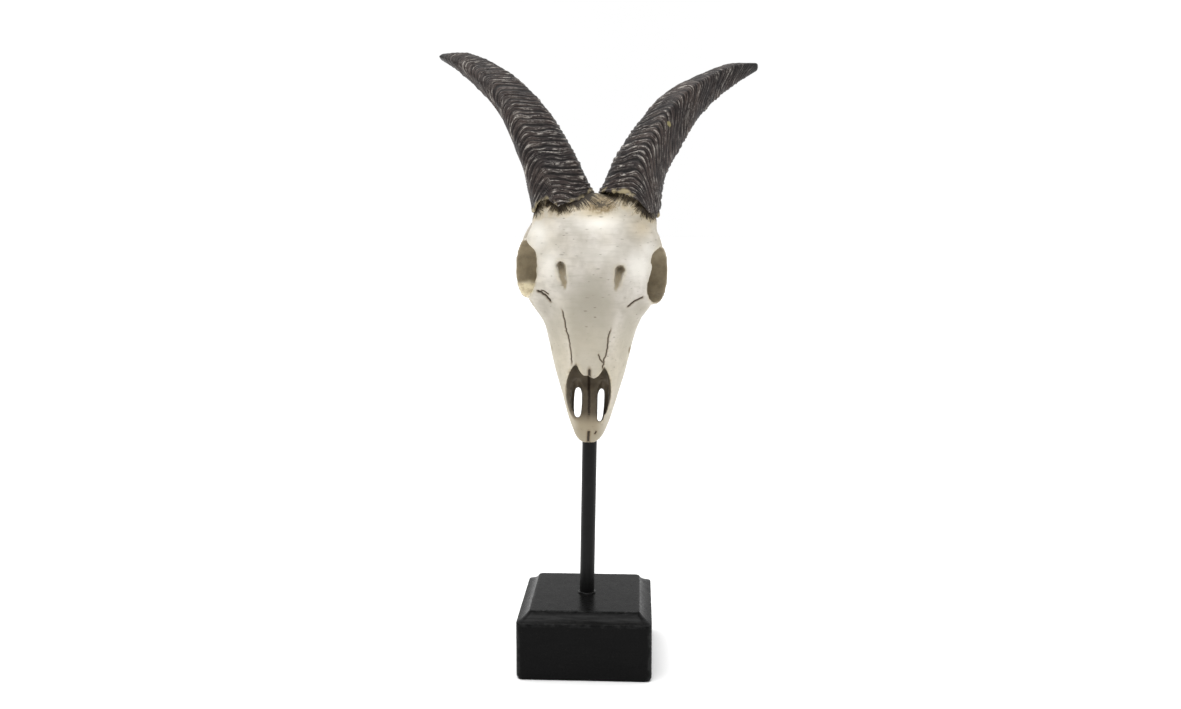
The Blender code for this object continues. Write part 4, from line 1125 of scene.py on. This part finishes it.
def skull_paint(look):
    paint = Paint("painted_bone", 0.24, broad=48.0, fine=260.0, grain=1500.0)
    place, mask, coat, step, tone = paint.place, paint.mask, paint.coat, paint.step, paint.tone
    patches = paint.group("brushed_tone", Place=place, Broad=130.0, Fine=90.0)
    wide, wider = paint.stretched(place, (0.55, 1.0, 1.7)), paint.stretched(place, (0.5, 1.0, 1.6))
    dots = paint.group("casting_pits", Place=wide, Scale=640.0, Amount=0.55)["Pits"]
    nicks = paint.group("casting_pits", Place=wider, Scale=430.0, Amount=0.34)["Pits"]
    cavity, crack, rim_gap = map(mask, ("cavity", "crack", "rim_gap"))

    # bone
    paint.colour = paint.mix(paint.times(tone["Tone"], 0.40), look.bone, look.bone_warm)
    coat(patches["Tone"], look.bone_grey, 0.34)
    coat(tone["Clouds"], look.bone_grey, 0.30)
    coat(mask("bridge"), look.bone_grey, 0.60)
    streaks = paint.noise(paint.stretched(place, (0.22, 1.0, 2.2)), 420.0, 3.0, 0.6)
    coat(step(streaks, 0.48, 0.66, 0.26), look.bone_grey)
    # painted shade on the sideways-facing bone
    coat(mask("flank"), look.flank, 0.50)
    # painted shade on the nose, cheeks, forehead and muzzle tip
    coat(mask("dull"), look.bone_grey, 0.95)
    # painted highlights on the forehead and brows
    coat(mask("pale"), look.pale, 0.9)
    coat(step(mask("height"), 58.0, 34.0), look.bone_warm, 0.20)
    coat(step(cavity, -0.15, -0.9), look.bone_warm, 0.30)
    coat(mask("under"), look.bone_warm, 0.35)
    coat(mask("teeth"), look.teeth, 0.8)
    # brown wash in the hollows, partly painted shade: darker wherever the surface is hollow
    coat(step(cavity, 0.25, 1.0), look.wash, 0.55)

    # glaze under the horns, and pits
    stain = step(paint.scaled(tone["Clouds"], 3.0, rim_gap), 8.0, 3.0)
    coat(paint.maths("MAXIMUM", stain, mask("rusty")), look.stain, 0.66)
    notch = paint.times(mask("notch"), paint.noise(place, 950.0, 2.0, 0.6))
    coat(step(notch, 0.05, 0.36, 0.92), look.fringe)
    # the brown band, partly painted shadow, deepens the middle of the notch between the horns
    coat(step(notch, 0.36, 0.50, 0.90), look.smear_and_shadow)
    pits = paint.maths("MAXIMUM", dots, nicks)
    coat(paint.times(pits, paint.scaled(patches["Clouds"], 0.65, 0.10), clamp=True), look.nose)

    # hollows, cracks and sockets
    coat(step(mask("halo"), 0.15, 0.9), look.halo, 0.50)
    groove = paint.mix(paint.times(mask("groove_pit"), 0.7), look.wash, look.nose)
    ragged = step(paint.noise(place, 300.0, 4.0, 0.7), 0.38, 0.66)
    coat(mask("groove"), groove, paint.scaled(ragged, 0.24, 0.76))
    coat(mask("muzzle"), look.wash, 0.95)
    coat(step(crack, 0.05, 0.70, 0.45), look.crack_edge)
    for name, colour in (("wash", look.wash), ("nose", look.nose)):
        coat(mask(name), paint.mix(tone["Clouds"], colour, toned(colour, 0.72)))
    coat(mask("cream"), paint.mix(paint.times(ragged, 0.6), look.cream, look.cream_dark), 0.95)
    # dark line paint in the cracks; the same mask carries the painted shadow at the ends of the nose's slots
    coat(step(crack, 0.55, 0.95, 0.90), look.line)

    # strokes of hair, over a brown band under the horns' rims that is partly stain and partly painted shadow
    smear_and_shadow = step(paint.scaled(tone["Clouds"], 3.0, mask("rim_near")), 5.4, 2.2)
    smear_and_shadow, hairs = paint.times(smear_and_shadow, 0.95), painted_hairs(paint, rim_gap)
    strokes = paint.times(hairs, 0.92)
    coat(smear_and_shadow, look.smear_and_shadow)
    coat(strokes, look.hair)

    paint.bump(paint.times(pits, -1.0), 0.14 * MM, 0.9)
    paint.bump(paint.scaled(hairs, -2.0, tone["Clouds"]), 0.05 * MM, 0.5)
    dull = paint.maths("MAXIMUM", mask("wash"), paint.maths("MAXIMUM", smear_and_shadow, strokes))
    return paint.finish(paint.scaled(dull, 0.20, 0.42), 0.035 * MM, 0.6)


# Base and rod


def moulded_block(look):
    """The square block: rounded foot, plain wall, then a hollow moulding under a small lip."""
    bpy.ops.object.select_all(action="DESELECT")
    bpy.ops.mesh.primitive_cube_add(
        size=1.0, location=(0.0, 0.0, BASE_WALL_HEIGHT / 2), scale=(BASE_SIDE, BASE_SIDE, BASE_WALL_HEIGHT)
    )
    piece = bpy.context.active_object
    piece.name = "base_moulded"
    bpy.ops.object.transform_apply(location=True, rotation=True, scale=True)
    top_half, half = BASE_TOP_SIDE / 2, BASE_SIDE / 2
    corner = half - 0.01 * MM

    def upright_corner(edge):
        ends = [piece.data.vertices[n].co for n in edge.vertices]
        return all(min(abs(end.x), abs(end.y)) > corner for end in ends)

    # outward size and height of each step from the wall's top to the block's top
    climb = BASE_HEIGHT - look.lip - BASE_WALL_HEIGHT
    steps = [(half - 0.12 * MM, 0.24 * MM), (half - 0.50 * MM, 0.36 * MM)]
    for share in np.arange(1, COVE_STEPS + 1) / COVE_STEPS:
        turn = math.pi / 2 * share
        out = 0.62 * (1 - share) + 0.38 * (1 - math.sin(turn))
        up = 0.62 * share + 0.38 * (1 - math.cos(turn))
        size = top_half + 0.06 * MM + (half - 0.5 * MM - top_half) * out
        steps.append((size, (climb - 0.36 * MM) * up + 0.36 * MM))
    steps += [(top_half + 0.02 * MM, climb + look.lip - 0.10 * MM), (top_half - 0.16 * MM, climb + look.lip)]

    with edit_mode(piece):
        for axis, n in itertools.product(range(2), range(1, BASE_SLICES)):
            at = BASE_SIDE * (n / BASE_SLICES - 0.5)
            bpy.ops.mesh.select_all(action="SELECT")
            bpy.ops.mesh.bisect(plane_co=(at, at, 0.0), plane_no=(1 - axis, axis, 0))
        for n in range(1, BASE_STOREYS):
            bpy.ops.mesh.select_all(action="SELECT")
            bpy.ops.mesh.bisect(plane_co=(0.0, 0.0, BASE_WALL_HEIGHT * n / BASE_STOREYS), plane_no=(0, 0, 1))
        select_parts(piece, "EDGE", upright_corner)
        bpy.ops.mesh.bevel(offset=BASE_CORNER_RADIUS, segments=6, affect="EDGES")
        select_parts(piece, "FACE", lambda face: face.normal.z > 0.99)
        now_half, now_z = half, 0.0
        for size, height in steps:
            bpy.ops.mesh.extrude_region_move(TRANSFORM_OT_translate={"value": (0.0, 0.0, height - now_z)})
            bpy.ops.transform.resize(
                value=(size / now_half, size / now_half, 1.0), center_override=(0.0, 0.0, 0.0)
            )
            now_half, now_z = size, height
    apply_modifier(piece, "SUBSURF", subdivision_type="SIMPLE", levels=2, render_levels=2)

    mesh = piece.data
    points = points_of(mesh)
    foot = ramp(points[:, 2], 1.3 * MM, 0.0)
    outer = np.max(np.abs(points[:, :2]), axis=1)
    shrink = 1.0 - foot * (0.55 * MM) / half * (outer > half - 3 * MM)
    points[:, :2] *= shrink[:, None]
    normals = normals_of(mesh)
    mm = points / MM
    waves = 0.05 * blobs(mm, 9.0, 71) + 0.025 * blobs(mm, 2.6, 72)
    dents = np.clip(blobs(mm, 1.7, 73) - 0.62, 0.0, 1.0) * 0.5
    outward = np.clip(np.max(np.abs(normals[:, :2]), axis=1), 0.0, 1.0)
    sunk = np.abs(waves) + dents * outward * (points[:, 2] > 1 * MM)
    sunk *= ramp(points[:, 2], 0.2 * MM, 1.5 * MM)
    move_points(mesh, points - normals * (sunk * MM)[:, None])
    height, side = mm[:, 2], np.sort(np.abs(mm[:, :2]), axis=1)
    shoulder = np.abs(height - BASE_WALL_HEIGHT / MM - 0.1) + 0.6 * np.abs(side[:, 1] - half / MM + 0.2)
    top_edge = np.abs(height - BASE_HEIGHT / MM) + 0.8 * np.abs(side[:, 1] - top_half / MM)
    upright = np.abs(np.hypot(side[:, 0] - half / MM, side[:, 1] - half / MM) - 1.0) + 4 * (height > 22.4)
    write_masks(
        mesh,
        edge=ramp(np.min([shoulder, top_edge, upright], axis=0), 1.1, 0.15),
        # band along the moulding's hollow that gets the painted sheen
        cove=ramp(height, 23.0, 23.9) * ramp(height, 25.7, 24.8) * (side[:, 1] > top_half / MM),
    )
    pick_only(piece)
    bpy.ops.object.shade_smooth_by_angle(angle=math.radians(34))
    return piece


def black_wood_paint(look):
    paint = Paint("black_wood_paint", 0.05, broad=70.0, fine=500.0, grain=1400.0)
    streaks = paint.noise(paint.stretched(paint.place, (1.0, 9.0, 9.0)), 110.0, 4.0, 0.6)
    rubbed = paint.step(paint.noise(paint.place, 330.0, 4.0, 0.7), 0.40, 0.66)
    paint.colour = paint.mix(paint.times(paint.tone["Tone"], 0.5), look.paint, toned(look.paint, 0.72))
    paint.coat(streaks, look.worn_and_sheen, 0.20)
    paint.coat(paint.mask("edge"), look.worn_and_sheen, rubbed)
    # painted sheen: a lighter band in the moulding's hollow
    paint.coat(paint.mask("cove"), look.worn_and_sheen, paint.step(streaks, 0.40, 0.62, 0.7))
    paint.bump(streaks, 0.06 * MM, 0.4)
    return paint.finish(paint.scaled(paint.tone["Clouds"], 0.10, 0.25), 0.012 * MM, 0.4)


def black_rod_paint(look):
    paint = Paint("black_rod_paint", 0.13, broad=120.0, fine=600.0, grain=1800.0)
    lighter = toned(look.rod_paint, 1.8)
    paint.colour = paint.mix(paint.times(paint.tone["Tone"], 0.6), look.rod_paint, lighter)
    paint.coat(paint.tone["Clouds"], toned(look.rod_paint, 2.6), 0.25)
    return paint.finish(0.36, 0.03 * MM, 0.6)


def paint_bead():
    """The ring of thick paint where the rod enters the base."""
    bpy.ops.object.select_all(action="DESELECT")
    bpy.ops.mesh.primitive_torus_add(
        major_segments=72, minor_segments=16, major_radius=ROD_RADIUS + 0.10 * MM, minor_radius=0.55 * MM,
        location=(0.0, 0.0, BASE_HEIGHT),
    )
    piece = bpy.context.active_object
    piece.name = "rod_bead"
    bpy.ops.object.transform_apply(location=True, rotation=True, scale=True)
    mesh = piece.data
    points = points_of(mesh)
    uneven = 1.0 + 0.14 * blobs(points / MM, 1.6, 81)
    points[:, :2] *= uneven[:, None]
    points[:, 2] = BASE_HEIGHT + (points[:, 2] - BASE_HEIGHT) * (1.0 + 0.5 * blobs(points / MM, 2.2, 82))
    move_points(mesh, points)
    bpy.ops.object.shade_smooth()
    return piece


def finish_piece(piece, material, slot, *nodes):
    """Gives a piece its material and its body, and hides the nodes that it stands for. The slot is not used.
    """
    piece.data.materials.clear()
    piece.data.materials.append(material)
    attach(piece, "root")
    if nodes:
        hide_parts(*nodes)


class ORNAMENT_OT_cast_skull(Operator):
    """Makes the painted skull from its solid"""

    bl_idname = "ornament.cast_skull"
    bl_label = "Skull"

    def execute(self, context):
        look = context.scene.skull_look
        finish_piece(cast_skull(look), skull_paint(look), "skull", "skull")
        return {"FINISHED"}


class ORNAMENT_OT_grow_horns(Operator):
    """Makes both ringed horns along their routes"""

    bl_idname = "ornament.grow_horns"
    bl_label = "Horns"

    def execute(self, context):
        look = context.scene.horn_look
        paint = horn_paint(look)
        for side, node in ((LEFT, "horn_left"), (RIGHT, "horn_right")):
            finish_piece(grow_horn(side, look), paint, "horns", node)
        return {"FINISHED"}


class ORNAMENT_OT_make_base(Operator):
    """Makes the moulded base block"""

    bl_idname = "ornament.make_base"
    bl_label = "Base"

    def execute(self, context):
        look = context.scene.stand_look
        finish_piece(moulded_block(look), black_wood_paint(look), "base", "base_block")
        return {"FINISHED"}


class ORNAMENT_OT_paint_rod(Operator):
    """Paints the rod and adds the bead of paint at its foot"""

    bl_idname = "ornament.paint_rod"
    bl_label = "Rod"

    def execute(self, context):
        paint = black_rod_paint(context.scene.stand_look)
        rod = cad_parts["rod"]
        for place in rod.material_slots:
            place.material = paint
        finish_piece(paint_bead(), paint, "rod")
        return {"FINISHED"}


class ORNAMENT_OT_set_stage(Operator):
    """Sets the floor, the soft lights and the camera"""

    bl_idname = "ornament.set_stage"
    bl_label = "Stage"

    def execute(self, context):
        look = context.scene.stage_look
        bpy.ops.object.select_all(action="DESELECT")
        bpy.ops.mesh.primitive_plane_add(size=FLOOR_SIDE, location=(0.0, 0.0, -FLOOR_DROP))
        floor = context.active_object
        floor.name = "floor"
        made = bpy.data.materials.new("pale_floor")
        made.use_nodes = True
        shader = made.node_tree.nodes["Principled BSDF"]
        shader.inputs["Base Color"].default_value = (*look.floor, 1.0)
        shader.inputs["Roughness"].default_value = 0.9
        floor.data.materials.append(made)

        world = bpy.data.worlds.new("white_surround")
        world.use_nodes = True
        nodes = Nodes(world.node_tree)
        facing = nodes.add("SeparateXYZ", Vector=nodes.add("TexCoord")["Generated"])
        behind = nodes.step(facing["Y"], -0.1, 0.6)
        strength = nodes.scaled(behind, look.back_light - look.front_light, look.front_light)
        sideways = nodes.maths("POWER", nodes.maths("ABSOLUTE", facing["X"]), 2.0)
        strength = nodes.scaled(sideways, look.side_light, strength)
        seen = nodes.add("LightPath")["Is Camera Ray"]
        background = world.node_tree.nodes["Background"]
        background.inputs["Color"].default_value = (1.0, 1.0, 1.0, 1.0)
        nodes.fill(background.inputs["Strength"], nodes.maths("MAXIMUM", strength, seen))
        context.scene.world = world
        bpy.ops.object.light_add(type="SUN", rotation=SUN_TURN)
        sun = context.active_object
        sun.name = "overhead"
        sun.data.energy = look.overhead
        sun.data.angle = SUN_SOFTNESS
        bpy.ops.object.camera_add(location=CAMERA_PLACE, rotation=(CAMERA_PITCH, 0.0, CAMERA_YAW))
        camera = context.active_object
        camera.data.lens = CAMERA_LENS
        camera.data.sensor_width = CAMERA_SENSOR
        camera.data.clip_start = 0.01
        context.scene.camera = camera
        context.scene.view_settings.view_transform = "Standard"
        return {"FINISHED"}


class ORNAMENT_PT_pieces(Panel):
    """Lists the ornament's pieces in the order they are made"""

    bl_idname = "ORNAMENT_PT_pieces"
    bl_label = "Skull Ornament"
    bl_space_type = "VIEW_3D"
    bl_region_type = "UI"
    bl_category = "Ornament"

    def draw(self, context):
        for title, look, pieces in (
            ("Skull", context.scene.skull_look, ("ornament.cast_skull",)),
            ("Horns", context.scene.horn_look, ("ornament.grow_horns",)),
            ("Stand", context.scene.stand_look, ("ornament.make_base", "ornament.paint_rod")),
            ("Stage", context.scene.stage_look, ("ornament.set_stage",)),
        ):
            box = self.layout.box()
            box.label(text=title)
            for name in look.__annotations__:
                box.prop(look, name)
            for piece in pieces:
                box.operator(piece)


CLASSES = (
    SkullLook, HornLook, StandLook, StageLook,
    ORNAMENT_OT_cast_skull, ORNAMENT_OT_grow_horns, ORNAMENT_OT_make_base, ORNAMENT_OT_paint_rod,
    ORNAMENT_OT_set_stage, ORNAMENT_PT_pieces,
)


def register():
    for one in CLASSES:
        bpy.utils.register_class(one)
    bpy.types.Scene.skull_look = PointerProperty(type=SkullLook)
    bpy.types.Scene.horn_look = PointerProperty(type=HornLook)
    bpy.types.Scene.stand_look = PointerProperty(type=StandLook)
    bpy.types.Scene.stage_look = PointerProperty(type=StageLook)


def unregister():
    for name in ("skull_look", "horn_look", "stand_look", "stage_look"):
        delattr(bpy.types.Scene, name)
    for one in reversed(CLASSES):
        bpy.utils.unregister_class(one)


def main():
    register()
    bpy.ops.ornament.cast_skull()
    bpy.ops.ornament.grow_horns()
    bpy.ops.ornament.make_base()
    bpy.ops.ornament.paint_rod()
    bpy.ops.ornament.set_stage()


if __name__ == "__main__":
    main()
